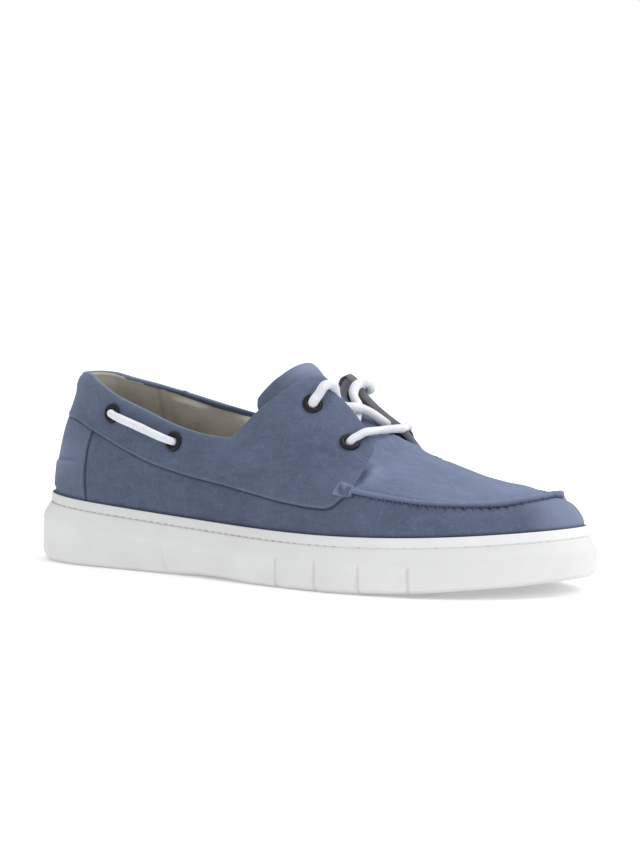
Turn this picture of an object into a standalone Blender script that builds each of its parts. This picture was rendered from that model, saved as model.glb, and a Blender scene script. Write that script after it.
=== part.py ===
"""A laced moc-toe deck shoe, right foot, built as its maker would put it together.

One moulded cupsole, an insole, a hollow lasted upper, a padded tongue, eight eyelets and the lace.
The frame has +X to the toe, +Y to the inner (medial) side and +Z up, with the floor at z = 0.
Sizes are in millimetres from the back of the heel ("along"), from the middle line ("half") and
from the floor ("height"), and become metres when a mesh is made.
"""

import math

import bmesh
import bpy
import numpy as np
from mathutils import Matrix, Vector

MM = 0.001

# ---- driving sizes, mm --------------------------------------------------------------------------
LENGTH = 304.0            # outsole, heel to toe
CENTRE = (153.0, -0.8)    # along and across, of the middle of the shoe's box
TOE_TIP = 298.0           # where the upper meets the sole at the toe
TOE_SIDE = 6.0            # the toe's tip lies this far to the inner side
WALL = 2.0                # leather and lining of the upper
OVERLAY = 1.2             # quarter overlay and flaps, above the leather under them
COUNTER = 0.7             # heel counter
PLUG = 1.5                # the vamp's plug stands this much above the toe's wall, at their seam,
PLUG_REACH = 30.0         # and sinks to it over about this length
LIP = 1.2                 # the seam's lip, above the plug,
LIP_REACH = 3.5           # which dies away over about this length
GAP = 0.3                 # between curved pieces that meet
CUP_GAP = 0.6             # the same round the upper's foot, whose facets differ from the sole's
CUP_DEPTH = 9.0           # how far the upper stands inside the sole's rim
INSOLE_THICK = 4.5
LACE = 3.8                # diameter of the round lace
FLAP_FRONT = 214.0        # along, where the flaps' front edge comes down to the sole
COUNTER_FRONT = 44.5      # along, front edge of the heel counter

# The last: where the upper meets the sole, seen from above.
# along, outer half, inner half
OUTLINE = (
    (14.0, 20.0, 20.0),
    (40.0, 33.0, 32.5),
    (72.0, 35.0, 33.4),
    (106.0, 36.8, 31.0),
    (142.0, 42.0, 32.3),
    (175.0, 47.4, 39.0),
    (204.0, 50.0, 46.2),
    (230.0, 48.3, 48.5),
    (255.0, 41.8, 46.0),
    (277.0, 28.8, 37.3),
    (292.0, 11.9, 24.0),
)
HEEL_BACK = 8.0

# The last's sections: a foot at the sole, a shoulder part of the way up, then the opening.
# along, shoulder inset, shoulder height, then angles from level: at foot, below and above the
# shoulder and at the opening, and how strongly the last one pulls
SECTIONS = (
    (8.0, 3.0, 60.0, 91.0, 74.0, 74.0, 74.0, 1.0),
    (40.0, 4.0, 60.0, 91.0, 78.0, 78.0, 74.0, 1.0),
    (72.0, 2.0, 55.0, 92.0, 84.0, 84.0, 80.0, 1.0),
    (106.0, 1.5, 50.0, 92.0, 85.0, 85.0, 80.0, 1.0),
    (142.0, 3.0, 52.0, 92.0, 78.0, 78.0, 70.0, 1.0),
    (165.0, 6.0, 55.0, 93.0, 70.0, 70.0, 60.0, 1.0),
    (180.0, 6.0, 50.0, 94.0, 62.0, 62.0, 42.0, 1.0),
    (195.0, 4.8, 45.5, 95.0, 62.0, 52.0, 30.0, 1.0),
    (208.0, 4.5, 45.0, 96.0, 66.0, 42.0, 26.0, 1.0),
    (230.0, 4.0, 42.6, 96.0, 72.0, 28.0, 26.0, 0.9),
    (255.0, 5.0, 40.4, 96.0, 62.0, 18.0, 26.0, 0.75),
    (277.0, 8.0, 39.9, 98.0, 42.0, 14.5, 26.0, 0.75),
    (292.0, 10.0, 41.6, 100.0, 26.0, 12.5, 26.0, 0.75),
    (298.0, 11.4, 43.0, 101.0, 20.0, 11.0, 26.0, 0.75),
)

# The opening's edge, by the place on the sole that it stands over. The inner side differs a little.
# over, along, half, height, inner along, inner height
OPENING = (
    (8.0, 22.5, 0.0, 90.4, 22.5, 90.4),
    (14.0, 25.0, 10.0, 90.6, 25.0, 89.9),
    (28.0, 34.0, 18.0, 90.0, 34.0, 87.2),
    (44.0, 44.5, 23.5, 86.9, 44.5, 84.5),
    (60.0, 59.0, 27.7, 81.7, 59.0, 80.9),
    (80.0, 79.0, 30.3, 75.6, 79.0, 76.2),
    (106.0, 105.0, 32.3, 67.8, 105.0, 70.8),
    (124.0, 123.0, 33.0, 64.9, 123.0, 68.0),
    (137.0, 134.5, 33.0, 64.4, 133.0, 66.8),
    (139.0, 136.5, 32.9, 65.8, 134.6, 68.0),
    (151.0, 149.5, 31.0, 77.6, 145.0, 79.5),
    (159.0, 159.5, 28.8, 85.3, 152.0, 87.5),
    (166.0, 168.0, 25.0, 91.0, 157.3, 92.5),
    (171.0, 173.0, 22.0, 93.1, 162.0, 94.4),
    (175.0, 177.0, 18.6, 90.8, 167.3, 91.2),
    (179.0, 181.3, 17.0, 87.2, 172.2, 86.7),
    (186.0, 187.6, 15.2, 81.6, 181.0, 80.4),
    (196.0, 195.5, 14.5, 73.2, 191.0, 73.6),
    (204.0, 201.5, 15.5, 67.2, 199.5, 67.8),
    (210.0, 205.0, 18.0, 63.4, 205.0, 63.4),
    (222.0, 207.5, 13.0, 61.6, 207.5, 61.6),
    (250.0, 211.0, 7.0, 60.6, 211.0, 60.6),
    (298.0, 212.5, 0.0, 60.2, 212.5, 60.2),
)
# Columns that stand at the corner of the collar and round the flaps' tips
OPENING_CORNERS = (137.0, 139.0, 159.0, 166.0, 171.0, 175.0, 179.0, 186.0)

# The overlay's lower edge on the quarter, by the place on the sole under it.
# over, height
OVERLAY_EDGE = (
    (8.0, 70.5),
    (27.0, 69.5),
    (47.5, 64.3),
    (75.0, 54.8),
    (88.0, 50.8),
    (114.5, 46.0),
    (134.0, 43.7),
    (160.0, 40.1),
    (179.0, 38.0),
    (192.0, 37.0),
    (200.0, 36.9),
    (205.0, 38.2),
    (208.5, 41.2),
    (211.5, 43.4),
    (213.6, 44.4),
)

# The sole's side, from its rim down.
# out from the upper's foot, below the rim
SOLE_SIDE = (
    (1.1, 0.0),
    (1.6, 0.7),
    (1.9, 4.2),
    (2.5, 5.4),
    (5.0, 9.6),
    (5.8, 12.0),
)
# out from the upper's foot, above the sole's underside
SOLE_FOOT = (
    (6.0, 6.5),
    (5.6, 3.0),
    (4.2, 0.9),
    (2.6, 0.0),
)
SOLE_RIM = (33.7, 26.3, 20.8, 30.2)      # heights that shape the rim's curve, heel to toe
TOE_SPRING = 8.0                         # lift of the toe, from here forward:
SPRING_FROM = 192.0
HEEL_BEVEL = 3.0                         # lift of the back edge, from here back:
BEVEL_FROM = 30.0
ARCH_RISE = 1.2                          # lift under the waist, middle and half width:
ARCH_AT = 128.0
ARCH_REACH = 36.0
GROOVES = tuple(176.5 + 23.0 * k for k in range(4))    # flex grooves across the sole
GROOVE_WIDTH = 2.6
GROOVE_DEPTH = 1.8
STRUT_AT = 100.6                         # slanted groove at the back of the waist
STRUT_SLANT = 6.0                        # how far it leans forward, top to bottom
STRUT_REACH = 26.0

# Eyelets: name, along, height, and along and height on the inner side
EYELETS = (
    ("throat_upper", 176.6, 81.8, 162.5, 83.0),
    ("throat_lower", 197.4, 64.7, 192.0, 66.2),
    ("side_rear", 60.2, 73.2, 60.2, 72.5),
    ("side_front", 101.2, 61.8, 101.2, 64.0),
)
EYELET_HOLE = 7.0
# An eyelet's turned profile: from its axis, above the leather
EYELET_RING = (
    (2.45, 0.9),
    (3.4, 1.3),
    (4.4, 1.1),
    (4.75, 0.4),
    (3.1, 0.4),
    (3.1, -3.7),
    (2.45, -3.7),
)

# The tongue, from under the vamp to its top.
# along, height, half width, drop of its edges, sweep of its edges, thickness
TONGUE = (
    (222.0, 53.5, 16.0, 3.0, 0.0, 1.6),
    (219.0, 54.7, 17.5, 3.4, 0.0, 2.6),
    (212.5, 57.5, 18.5, 4.4, 0.0, 3.0),
    (200.0, 65.2, 20.5, 6.0, 0.5, 3.6),
    (188.0, 72.8, 22.0, 8.5, 2.0, 4.2),
    (174.5, 82.0, 24.0, 11.0, 5.0, 5.0),
    (162.5, 91.0, 25.5, 14.0, 7.0, 6.0),
    (156.5, 96.6, 25.5, 15.0, 8.0, 6.5),
    (153.2, 99.2, 24.0, 14.0, 8.6, 5.5),
    (151.2, 98.6, 21.0, 13.0, 9.0, 3.0),
)

# The lace's runs, as along, across and height of its middle line
LACE_BAR = (
    (202.8, -20.0, 69.7),
    (203.3, -15.0, 70.1),
    (202.6, -6.0, 70.2),
    (202.2, 2.0, 70.3),
    (201.8, 10.5, 70.5),
    (200.4, 16.5, 70.9),
)
LACE_OUTER_LOOP = (
    (181.6, -28.2, 88.8),
    (182.4, -23.0, 91.6),
    (182.6, -18.0, 91.9),
    (182.2, -13.6, 89.8),
    (182.4, -11.0, 86.3),
    (184.8, -8.5, 82.6),
    (185.0, -3.0, 80.6),
    (184.6, 4.0, 79.2),
    (186.0, 8.0, 76.7),
    (187.6, 10.9, 74.0),
    (189.6, 11.4, 72.2),
)
LACE_INNER_LOOP = (
    (193.2, -11.6, 74.5),
    (188.5, -6.0, 77.6),
    (182.8, 0.0, 80.4),
    (177.2, 6.0, 83.0),
    (174.2, 10.6, 86.2),
    (173.2, 13.6, 89.8),
    (173.0, 17.8, 92.2),
    (173.0, 22.6, 92.2),
    (172.6, 27.0, 90.4),
)

# Leather, rubber and metal, as RGB with roughness and metallic
SUEDE = ("suede", (0.105, 0.150, 0.250), 0.95, 0.0)
RUBBER = ("rubber", (0.83, 0.83, 0.81), 0.55, 0.0)
LINING = ("lining", (0.52, 0.48, 0.42), 0.9, 0.0)
METAL = ("black_metal", (0.02, 0.02, 0.024), 0.35, 0.6)
CORD = ("lace", (0.86, 0.86, 0.86), 0.85, 0.0)


# ---- curves -------------------------------------------------------------------------------------
def glide(knots, values, at):
    """A smooth curve through the knots that never swings past them."""
    knots = np.asarray(knots, float)
    values = np.asarray(values, float)
    step = np.diff(knots)
    slope = np.diff(values) / step
    lean = np.zeros_like(values)
    lean[0], lean[-1] = slope[0], slope[-1]
    for i in range(1, len(knots) - 1):
        if slope[i - 1] * slope[i] > 0:
            first = 2 * step[i] + step[i - 1]
            second = step[i] + 2 * step[i - 1]
            lean[i] = (first + second) / (first / slope[i - 1] + second / slope[i])
    at = np.clip(at, knots[0], knots[-1])
    i = np.clip(np.searchsorted(knots, at, side="right") - 1, 0, len(step) - 1)
    t = (at - knots[i]) / step[i]
    return (
        values[i] * (1 + 2 * t) * (1 - t) ** 2
        + lean[i] * step[i] * t * (1 - t) ** 2
        + values[i + 1] * t * t * (3 - 2 * t)
        + lean[i + 1] * step[i] * t * t * (t - 1)
    )


def closed_curve(points, samples):
    """A smooth closed curve through the points, as evenly numbered samples."""
    points = np.asarray(points, float)
    count = len(points)
    step = np.linalg.norm(np.roll(points, -1, axis=0) - points, axis=1)
    rise = (np.roll(points, -1, axis=0) - points) / step[:, None]
    matrix = np.zeros((count, count))
    for i in range(count):
        matrix[i, i - 1] += step[i - 1]
        matrix[i, i] += 2 * (step[i - 1] + step[i])
        matrix[i, (i + 1) % count] += step[i]
    bend = np.linalg.solve(matrix, 6 * (rise - np.roll(rise, 1, axis=0)))
    knots = np.concatenate([[0.0], np.cumsum(step)])
    at = np.linspace(0, knots[-1], samples, endpoint=False)
    i = np.clip(np.searchsorted(knots, at, side="right") - 1, 0, count - 1)
    j = (i + 1) % count
    h = step[i][:, None]
    a = (knots[i + 1] - at)[:, None] / h
    b = 1 - a
    return (
        a * points[i] + b * points[j]
        + ((a ** 3 - a) * bend[i] + (b ** 3 - b) * bend[j]) * h * h / 6
    )


def hermite(start, end, lean_start, lean_end, t):
    """Points from start to end that leave and arrive along the two leans."""
    t = t[:, None]
    return (
        start * (1 + 2 * t) * (1 - t) ** 2 + lean_start * t * (1 - t) ** 2
        + end * t * t * (3 - 2 * t) + lean_end * t * t * (t - 1)
    )


def smooth_path(points, spacing):
    """A smooth open path through hand-placed points, with a point every `spacing` mm."""
    points = np.asarray(points, float)
    knots = np.concatenate([[0.0], np.cumsum(np.linalg.norm(np.diff(points, axis=0), axis=1))])
    lean = np.gradient(points, knots, axis=0)
    count = max(4, int(round(knots[-1] / spacing)) + 1)
    at = np.linspace(0, knots[-1], count)
    i = np.clip(np.searchsorted(knots, at, side="right") - 1, 0, len(points) - 2)
    h = (knots[i + 1] - knots[i])[:, None]
    t = (at - knots[i])[:, None] / h
    return (
        points[i] * (1 + 2 * t) * (1 - t) ** 2 + lean[i] * h * t * (1 - t) ** 2
        + points[i + 1] * t * t * (3 - 2 * t) + lean[i + 1] * h * t * t * (t - 1)
    )


# ---- the last -----------------------------------------------------------------------------------
class Ring:
    """The line round the foot where upper and sole meet, measured along it from the heel's back.

    It runs from the heel along the outer side to the toe, and back along the inner side.
    """

    def __init__(self):
        outer = [(along, -half) for along, half, _ in OUTLINE]
        inner = [(along, half) for along, _, half in OUTLINE]
        points = [(HEEL_BACK, 0.0)] + outer + [(TOE_TIP, TOE_SIDE)] + inner[::-1]
        self.line = closed_curve(points, 1440)
        step = np.linalg.norm(np.roll(self.line, -1, axis=0) - self.line, axis=1)
        self.at = np.concatenate([[0.0], np.cumsum(step)])
        self.whole = self.at[-1]
        self.closed = np.vstack([self.line, self.line[:1]])
        toe = int(np.argmax(self.line[:, 0]))
        self.toe = self.at[toe]
        self.outer_side = (self.line[:toe + 1, 0], self.at[:toe + 1])
        back = self.closed[toe:][::-1]
        self.inner_side = (back[:, 0], self.at[toe:][::-1])

    def point(self, place):
        place = np.mod(place, self.whole)
        along = np.interp(place, self.at, self.closed[:, 0])
        across = np.interp(place, self.at, self.closed[:, 1])
        return np.array([along, across])

    def inward(self, place):
        ahead = self.point(place + 1.5) - self.point(place - 1.5)
        ahead /= np.linalg.norm(ahead)
        return np.array([-ahead[1], ahead[0]])

    def place(self, along, inner):
        """Where on the ring a given along lies, on the inner or the outer side."""
        alongs, places = self.inner_side if inner else self.outer_side
        alongs = np.maximum.accumulate(alongs)
        return float(np.interp(along, alongs, places))

    def reach(self, place):
        """Distance from the heel's back along the side that the place is on, and that side."""
        place = np.mod(place, self.whole)
        inner = place > self.toe
        return (self.whole - place if inner else place), inner


RING = Ring()


class SideTable:
    """A table whose first column is a place on the sole, read on either side of the shoe."""

    def __init__(self, rows):
        self.rows = rows
        self.knots = {}
        for inner in (False, True):
            knots = []
            for row in rows:
                at = RING.place(row[0], inner)
                knots.append(RING.whole - at if inner else at)
            if rows[0][0] <= HEEL_BACK:
                knots[0] = 0.0
            if rows[-1][0] >= TOE_TIP:
                knots[-1] = RING.whole - RING.toe if inner else RING.toe
            self.knots[inner] = knots

    def value(self, column, place):
        reach, inner = RING.reach(place)
        return float(glide(self.knots[inner], [row[column] for row in self.rows], reach))


SECTION_TABLE = SideTable(SECTIONS)
OPENING_TABLE = SideTable(OPENING)
OVERLAY_TABLE = SideTable(OVERLAY_EDGE)


def rim_height(along):
    """Height of the sole's rim."""
    t = np.clip((along - HEEL_BACK) / (TOE_TIP - HEEL_BACK), 0, 1)
    a, b, c, d = SOLE_RIM
    return a * (1 - t) ** 3 + 3 * b * t * (1 - t) ** 2 + 3 * c * t * t * (1 - t) + d * t ** 3


def under_height(along):
    """Height of the sole's underside: flat under heel and ball, lifted at toe, back and waist."""
    toe = max(0.0, (along - SPRING_FROM) / (LENGTH - SPRING_FROM))
    back = max(0.0, (BEVEL_FROM - along) / BEVEL_FROM)
    waist = max(0.0, 1 - ((along - ARCH_AT) / ARCH_REACH) ** 2)
    return TOE_SPRING * toe ** 2 + HEEL_BEVEL * back ** 2 + ARCH_RISE * waist ** 2


def opening_edge(place):
    """The edge of the collar, flaps and throat above a place on the ring."""
    inner = RING.reach(place)[1]
    along = OPENING_TABLE.value(4 if inner else 1, place)
    half = OPENING_TABLE.value(2, place)
    height = OPENING_TABLE.value(5 if inner else 3, place)
    return np.array([along, half if inner else -half, height])


def column(place, steps):
    """The last's surface above a place on the ring: 0 at the foot, 0.5 at the shoulder, 1 on top."""
    foot = RING.point(place)
    inward = RING.inward(place)
    inset, height, at_foot, below, above, at_top, pull = (
        SECTION_TABLE.value(i, place) for i in range(1, 8)
    )
    start = np.array([foot[0], foot[1], rim_height(foot[0])])
    shoulder = np.array([foot[0] + inward[0] * inset, foot[1] + inward[1] * inset, height])
    top = opening_edge(place)
    across = top[:2] - shoulder[:2]
    across /= np.linalg.norm(across)
    low = np.linalg.norm(shoulder - start)
    high = np.linalg.norm(top - shoulder)
    steps = np.asarray(steps, float)
    lower = hermite(start, shoulder, lean(inward, at_foot) * low, lean(inward, below) * low,
                    np.clip(steps * 2, 0, 1))
    upper = hermite(shoulder, top, lean(across, above) * high, lean(across, at_top) * high * pull,
                    np.clip(steps * 2 - 1, 0, 1))
    return np.where(steps[:, None] < 0.5, lower, upper)


def lean(direction, angle):
    """A unit vector that rises at an angle, in degrees, from a level direction."""
    angle = math.radians(angle)
    return np.array([direction[0] * math.cos(angle), direction[1] * math.cos(angle),
                     math.sin(angle)])


def surface_normal(place, step):
    """The way out of the last's surface."""
    side = column(place + 0.8, [step])[0] - column(place - 0.8, [step])[0]
    low, high = max(0.0, step - 0.02), min(1.0, step + 0.02)
    ends = column(place, [low, high])
    out = np.cross(side, ends[1] - ends[0])
    return out / np.linalg.norm(out)


def seam_step(place):
    """How far up a column the overlay's lower edge, or the moccasin seam, lies."""
    if on_vamp(place):
        return 0.5
    height = OVERLAY_TABLE.value(1, place)
    steps = np.linspace(0, 1, 81)
    heights = column(place, steps)[:, 2]
    above = int(np.argmax(heights >= height))
    below = max(0, above - 1)
    share = (height - heights[below]) / max(1e-6, heights[above] - heights[below])
    return float(steps[below] + share * (steps[above] - steps[below]))


def on_vamp(place):
    return RING.place(FLAP_FRONT, False) < place < RING.place(FLAP_FRONT, True)


def on_counter(place):
    return place < RING.place(COUNTER_FRONT, False) or place > RING.place(COUNTER_FRONT, True)


def on_upper(along, height, inner):
    """Point and normal of the last's surface at a given along and height."""
    near = RING.place(along, inner)
    best = (1e9, near, 0.5)
    spread, low, high = 26.0, 0.0, 1.0
    for _ in range(4):
        centre = best[1]
        for place in np.linspace(centre - spread, centre + spread, 25):
            steps = np.linspace(low, high, 41)
            points = column(place, steps)
            miss = np.hypot(points[:, 0] - along, points[:, 2] - height)
            i = int(np.argmin(miss))
            if miss[i] < best[0]:
                best = (miss[i], place, steps[i])
        spread *= 0.2
        reach = (high - low) * 0.15
        low, high = max(0.0, best[2] - reach), min(1.0, best[2] + reach)
    _, place, step = best
    return column(place, [step])[0], surface_normal(place, step)


# ---- meshes -------------------------------------------------------------------------------------
def to_frame(point):
    """From along, across and height in mm to the part's frame in metres."""
    return Vector((point[0] - CENTRE[0], point[1] - CENTRE[1], point[2])) * MM


def material(kind):
    name, colour, roughness, metallic = kind
    if name in bpy.data.materials:
        return bpy.data.materials[name]
    made = bpy.data.materials.new(name)
    made.use_nodes = True
    shader = made.node_tree.nodes["Principled BSDF"]
    shader.inputs["Base Color"].default_value = (*colour, 1.0)
    shader.inputs["Roughness"].default_value = roughness
    shader.inputs["Metallic"].default_value = metallic
    return made


def add_object(name, points, faces, kind):
    """A smooth-shaded object with its faces turned outwards."""
    mesh = bpy.data.meshes.new(name)
    mesh.from_pydata([to_frame(point) for point in points], [], faces)
    shape = bmesh.new()
    shape.from_mesh(mesh)
    bmesh.ops.recalc_face_normals(shape, faces=shape.faces[:])
    shape.to_mesh(mesh)
    shape.free()
    mesh.materials.append(material(kind))
    mesh.shade_smooth()
    mesh.set_sharp_from_angle(angle=math.radians(40))
    made = bpy.data.objects.new(name, mesh)
    bpy.context.scene.collection.objects.link(made)
    return made


def ring_faces(first, second, count):
    """Quads between two closed rows of vertices, given by their first numbers."""
    return [
        (first + i, first + (i + 1) % count, second + (i + 1) % count, second + i)
        for i in range(count)
    ]


def spread_places(specials, spacing):
    """Places round the ring: the special ones, and even ones between them."""
    specials = sorted(float(np.mod(place, RING.whole)) for place in specials)
    places = []
    for i, start in enumerate(specials):
        end = specials[(i + 1) % len(specials)]
        if i == len(specials) - 1:
            end += RING.whole
        parts = max(1, int(round((end - start) / spacing)))
        places += [start + (end - start) * k / parts for k in range(parts)]
    return np.array(places)


# ---- the sole -----------------------------------------------------------------------------------
def sole_places():
    """Columns round the sole, with the toe, the heel and both sides of each groove among them."""
    specials = [0.0, RING.toe]
    for along in GROOVES + (STRUT_AT,):
        for inner in (False, True):
            middle = RING.place(along, inner)
            for shift in (-0.5, -0.2, 0.2, 0.5):
                specials.append(middle + shift * GROOVE_WIDTH)
    return spread_places(specials, 10.0)


def groove_depth(place):
    """How deep the nearest flex or strut groove is at a place on the ring."""
    inner = RING.reach(place)[1]
    for along in GROOVES + (STRUT_AT,):
        off = abs(place - RING.place(along, inner))
        if off < 0.3 * GROOVE_WIDTH:
            return GROOVE_DEPTH
    return 0.0


def strut_shift(place, height, top):
    """The slanted groove's lean, which the columns round it share."""
    inner = RING.reach(place)[1]
    off = (place - RING.place(STRUT_AT, inner)) / STRUT_REACH
    down = np.clip((top - height) / top, 0, 1)
    return (-1 if inner else 1) * STRUT_SLANT * (down - 0.5) * math.exp(-off * off)


def sole_point(place, out, height):
    point = RING.point(place)
    inward = RING.inward(place)
    return [point[0] - inward[0] * out, point[1] - inward[1] * out, height]


def build_outsole():
    places = sole_places()
    count = len(places)
    rows = []
    rims = [rim_height(RING.point(place)[0]) for place in places]
    for out, below in ((CUP_GAP, CUP_DEPTH), (CUP_GAP, 0.5)) + SOLE_SIDE:
        rows.append([sole_point(place, out, rim - below) for place, rim in zip(places, rims)])
    for out, above in ((None, None),) + SOLE_FOOT:
        row = []
        for place, rim in zip(places, rims):
            reach_out = SOLE_SIDE[-1][0] if out is None else out
            under = under_height(sole_point(place, reach_out, 0)[0])
            top = rim - SOLE_SIDE[-1][1]
            height = 0.5 * (top + under + SOLE_FOOT[0][1]) if out is None else under + above
            depth = groove_depth(place)
            moved = place + strut_shift(place, height, rim - SOLE_SIDE[-2][1])
            row.append(sole_point(moved, reach_out - depth, height))
        rows.append(row)
    points = [point for row in rows for point in row]
    faces = []
    for k in range(len(rows) - 1):
        faces += ring_faces(k * count, (k + 1) * count, count)
    faces += ladder(points, 0, places, lambda along, _: rim_height(along) - CUP_DEPTH, 3)
    last = (len(rows) - 1) * count

    def underside(along, place):
        return under_height(along) + groove_depth(place)

    faces += ladder(points, last, places, underside, 7)
    return add_object("outsole", points, faces, RUBBER)


def ladder(points, first, places, height, across):
    """Close a ring of points with strips that run from its outer to its inner side."""
    count = len(places)
    toe = int(np.argmin(np.abs(places - RING.toe)))
    pairs = pair_up(count, toe)
    strips = []
    for a, b in pairs:
        if a == b:
            strips.append([first + a])
            continue
        start, end = np.array(points[first + a]), np.array(points[first + b])
        strip = [first + a]
        for k in range(1, across):
            spot = start + (end - start) * k / across
            spot[2] = height(spot[0], places[a])
            strip.append(len(points))
            points.append(list(spot))
        strip.append(first + b)
        strips.append(strip)
    faces = []
    for near, far in zip(strips[:-1], strips[1:]):
        faces += strip_faces(near, far)
    return faces


def pair_up(count, toe):
    """Pair the outer side's columns with the inner side's, from the heel to the toe."""
    outer = list(range(0, toe + 1))
    inner = [0] + list(range(count - 1, toe - 1, -1))
    size = max(len(outer), len(inner))
    pairs = []
    for k in range(size):
        a = outer[round(k * (len(outer) - 1) / (size - 1))]
        b = inner[round(k * (len(inner) - 1) / (size - 1))]
        pairs.append((a, b))
    return pairs


def strip_faces(near, far):
    """Faces between two rows of vertices, either of which may be a single point."""
    if len(near) == 1 and len(far) == 1:
        return []
    if len(near) == 1:
        return [(near[0], far[k + 1], far[k]) for k in range(len(far) - 1)]
    if len(far) == 1:
        return [(near[k], near[k + 1], far[0]) for k in range(len(near) - 1)]
    faces = []
    for k in range(len(near) - 1):
        corners = [near[k], near[k + 1], far[k + 1], far[k]]
        kept = [corner for i, corner in enumerate(corners) if corner not in corners[:i]]
        if len(kept) > 2:
            faces.append(tuple(kept))
    return faces


# ---- the upper ----------------------------------------------------------------------------------
ROWS_BELOW = 4            # rows of faces from foot to seam, and from seam to edge
ROWS_ABOVE = 7
SEAM_SHARE = 0.012        # half the width of the step at the seam, as a share of the column
HALF_STEP = 0.45          # half the width of a step between two columns, mm


def upper_places():
    """Columns round the upper, in pairs where a panel's front edge makes a step."""
    specials = [0.0, RING.toe]
    for along in (FLAP_FRONT, COUNTER_FRONT):
        for inner in (False, True):
            middle = RING.place(along, inner)
            specials += [middle - HALF_STEP, middle + HALF_STEP]
    for along in OPENING_CORNERS:
        specials += [RING.place(along, False), RING.place(along, True)]
    return spread_places(specials, 9.0)


def relief(place, above_seam, past_seam):
    """How far a panel stands above the last there; past_seam is the distance above the seam, mm."""
    if on_vamp(place):
        if not above_seam:
            return 0.0
        return PLUG * math.exp(-past_seam / PLUG_REACH) + LIP * math.exp(-past_seam / LIP_REACH)
    if above_seam:
        return OVERLAY
    return COUNTER if on_counter(place) else 0.0


def outer_rows(place):
    """Points up the outside of one column, from inside the sole's rim to the opening's edge."""
    seam = seam_step(place)
    below = [seam * k / ROWS_BELOW for k in range(ROWS_BELOW)] + [seam - SEAM_SHARE]
    above = [seam + SEAM_SHARE]
    above += [seam + (1 - seam) * (k / ROWS_ABOVE) ** 1.15 for k in range(1, ROWS_ABOVE + 1)]
    steps = below + above
    points = column(place, steps)
    seam_point = column(place, [seam])[0]
    rows = []
    for i, step in enumerate(steps):
        past = float(np.linalg.norm(points[i] - seam_point))
        raised = relief(place, i >= len(below), past)
        if i == 0:
            raised = 0.0
        rows.append(points[i] + surface_normal(place, step) * raised)
    foot = points[0]
    rows.insert(0, np.array([foot[0], foot[1], foot[2] - CUP_DEPTH + GAP]))
    return rows


def inner_rows(place):
    """Points down the inside of one column, a wall's thickness in from the last."""
    steps = [1.0, 0.88, 0.74, 0.6, 0.46, 0.25, 0.0]
    points = column(place, steps)
    rows = [point - surface_normal(place, step) * WALL for point, step in zip(points, steps)]
    foot = rows[-1]
    rows.append(np.array([foot[0], foot[1], points[-1][2] - CUP_DEPTH + GAP]))
    return rows


def build_upper():
    places = upper_places()
    count = len(places)
    loops = []
    for place in places:
        outer = outer_rows(place)
        inner = inner_rows(place)
        rim = (outer[-1] + inner[0]) / 2 + (outer[-1] - outer[-2]) * 0.12
        loops.append(outer + [rim] + inner)
    rows = len(loops[0])
    points = [loops[i][k] for k in range(rows) for i in range(count)]
    faces = []
    for k in range(rows):
        faces += ring_faces(k * count, ((k + 1) % rows) * count, count)
    upper = add_object("upper", points, faces, SUEDE)
    for name, spot, out in eyelet_spots():
        cut_hole(upper, "hole_" + name, spot, out)
    return upper


def eyelet_spots():
    """Name, centre on the outer face and way out of each eyelet."""
    spots = []
    for inner in (False, True):
        for name, along, height, inner_along, inner_height in EYELETS:
            spot = (inner_along, inner_height) if inner else (along, height)
            point, out = on_upper(*spot, inner)
            side = "inner" if inner else "outer"
            spots.append((name + "_" + side, point + out * OVERLAY, out))
    return spots


def turn_to(out):
    """The rotation that turns +Z to point out."""
    return Vector((0, 0, 1)).rotation_difference(Vector(out)).to_matrix().to_4x4()


def cut_hole(target, name, spot, out):
    """Cut a round hole through a wall."""
    mesh = bpy.data.meshes.new(name)
    shape = bmesh.new()
    bmesh.ops.create_cone(shape, cap_ends=True, segments=20, radius1=EYELET_HOLE / 2 * MM,
                          radius2=EYELET_HOLE / 2 * MM, depth=16 * MM)
    shape.to_mesh(mesh)
    shape.free()
    cutter = bpy.data.objects.new(name, mesh)
    cutter.matrix_world = Matrix.Translation(to_frame(spot)) @ turn_to(out)
    cutter.hide_render = True
    cutter.display_type = "WIRE"
    bpy.context.scene.collection.objects.link(cutter)
    cut = target.modifiers.new(name, "BOOLEAN")
    cut.operation = "DIFFERENCE"
    cut.solver = "EXACT"
    cut.object = cutter


# ---- insole and tongue --------------------------------------------------------------------------
def build_insole():
    """A footbed that lies in the sole's cup, inside the upper's foot."""
    places = spread_places([0.0, RING.toe], 10.0)
    edge = -(WALL + 2 * GAP)
    points = []
    for out, below in ((edge, CUP_DEPTH - GAP), (edge, CUP_DEPTH - INSOLE_THICK + 0.8),
                       (edge - 1.2, CUP_DEPTH - INSOLE_THICK)):
        for place in places:
            spot = sole_point(place, out, 0.0)
            points.append([spot[0], spot[1], rim_height(spot[0]) - below])
    count = len(places)
    faces = ring_faces(0, count, count) + ring_faces(count, 2 * count, count)
    faces += ladder(points, 0, places, lambda along, _: rim_height(along) - CUP_DEPTH + GAP, 3)
    faces += ladder(points, 2 * count, places,
                    lambda along, _: rim_height(along) - CUP_DEPTH + INSOLE_THICK, 3)
    return add_object("insole", points, faces, LINING)


def tongue_loop(along, height, half, drop, sweep, thick, count=18):
    """One section of the tongue: a flattened round, bent over the instep."""
    loop = []
    for k in range(count):
        angle = 2 * math.pi * k / count
        share = math.copysign(abs(math.cos(angle)) ** 0.8, math.cos(angle))
        across = half * share
        bend = (across / half) ** 2
        depth = 0.5 * thick * (1 - math.sin(angle))
        loop.append([along - sweep * bend - 0.5 * depth, across, height - drop * bend - depth])
    return loop


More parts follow.
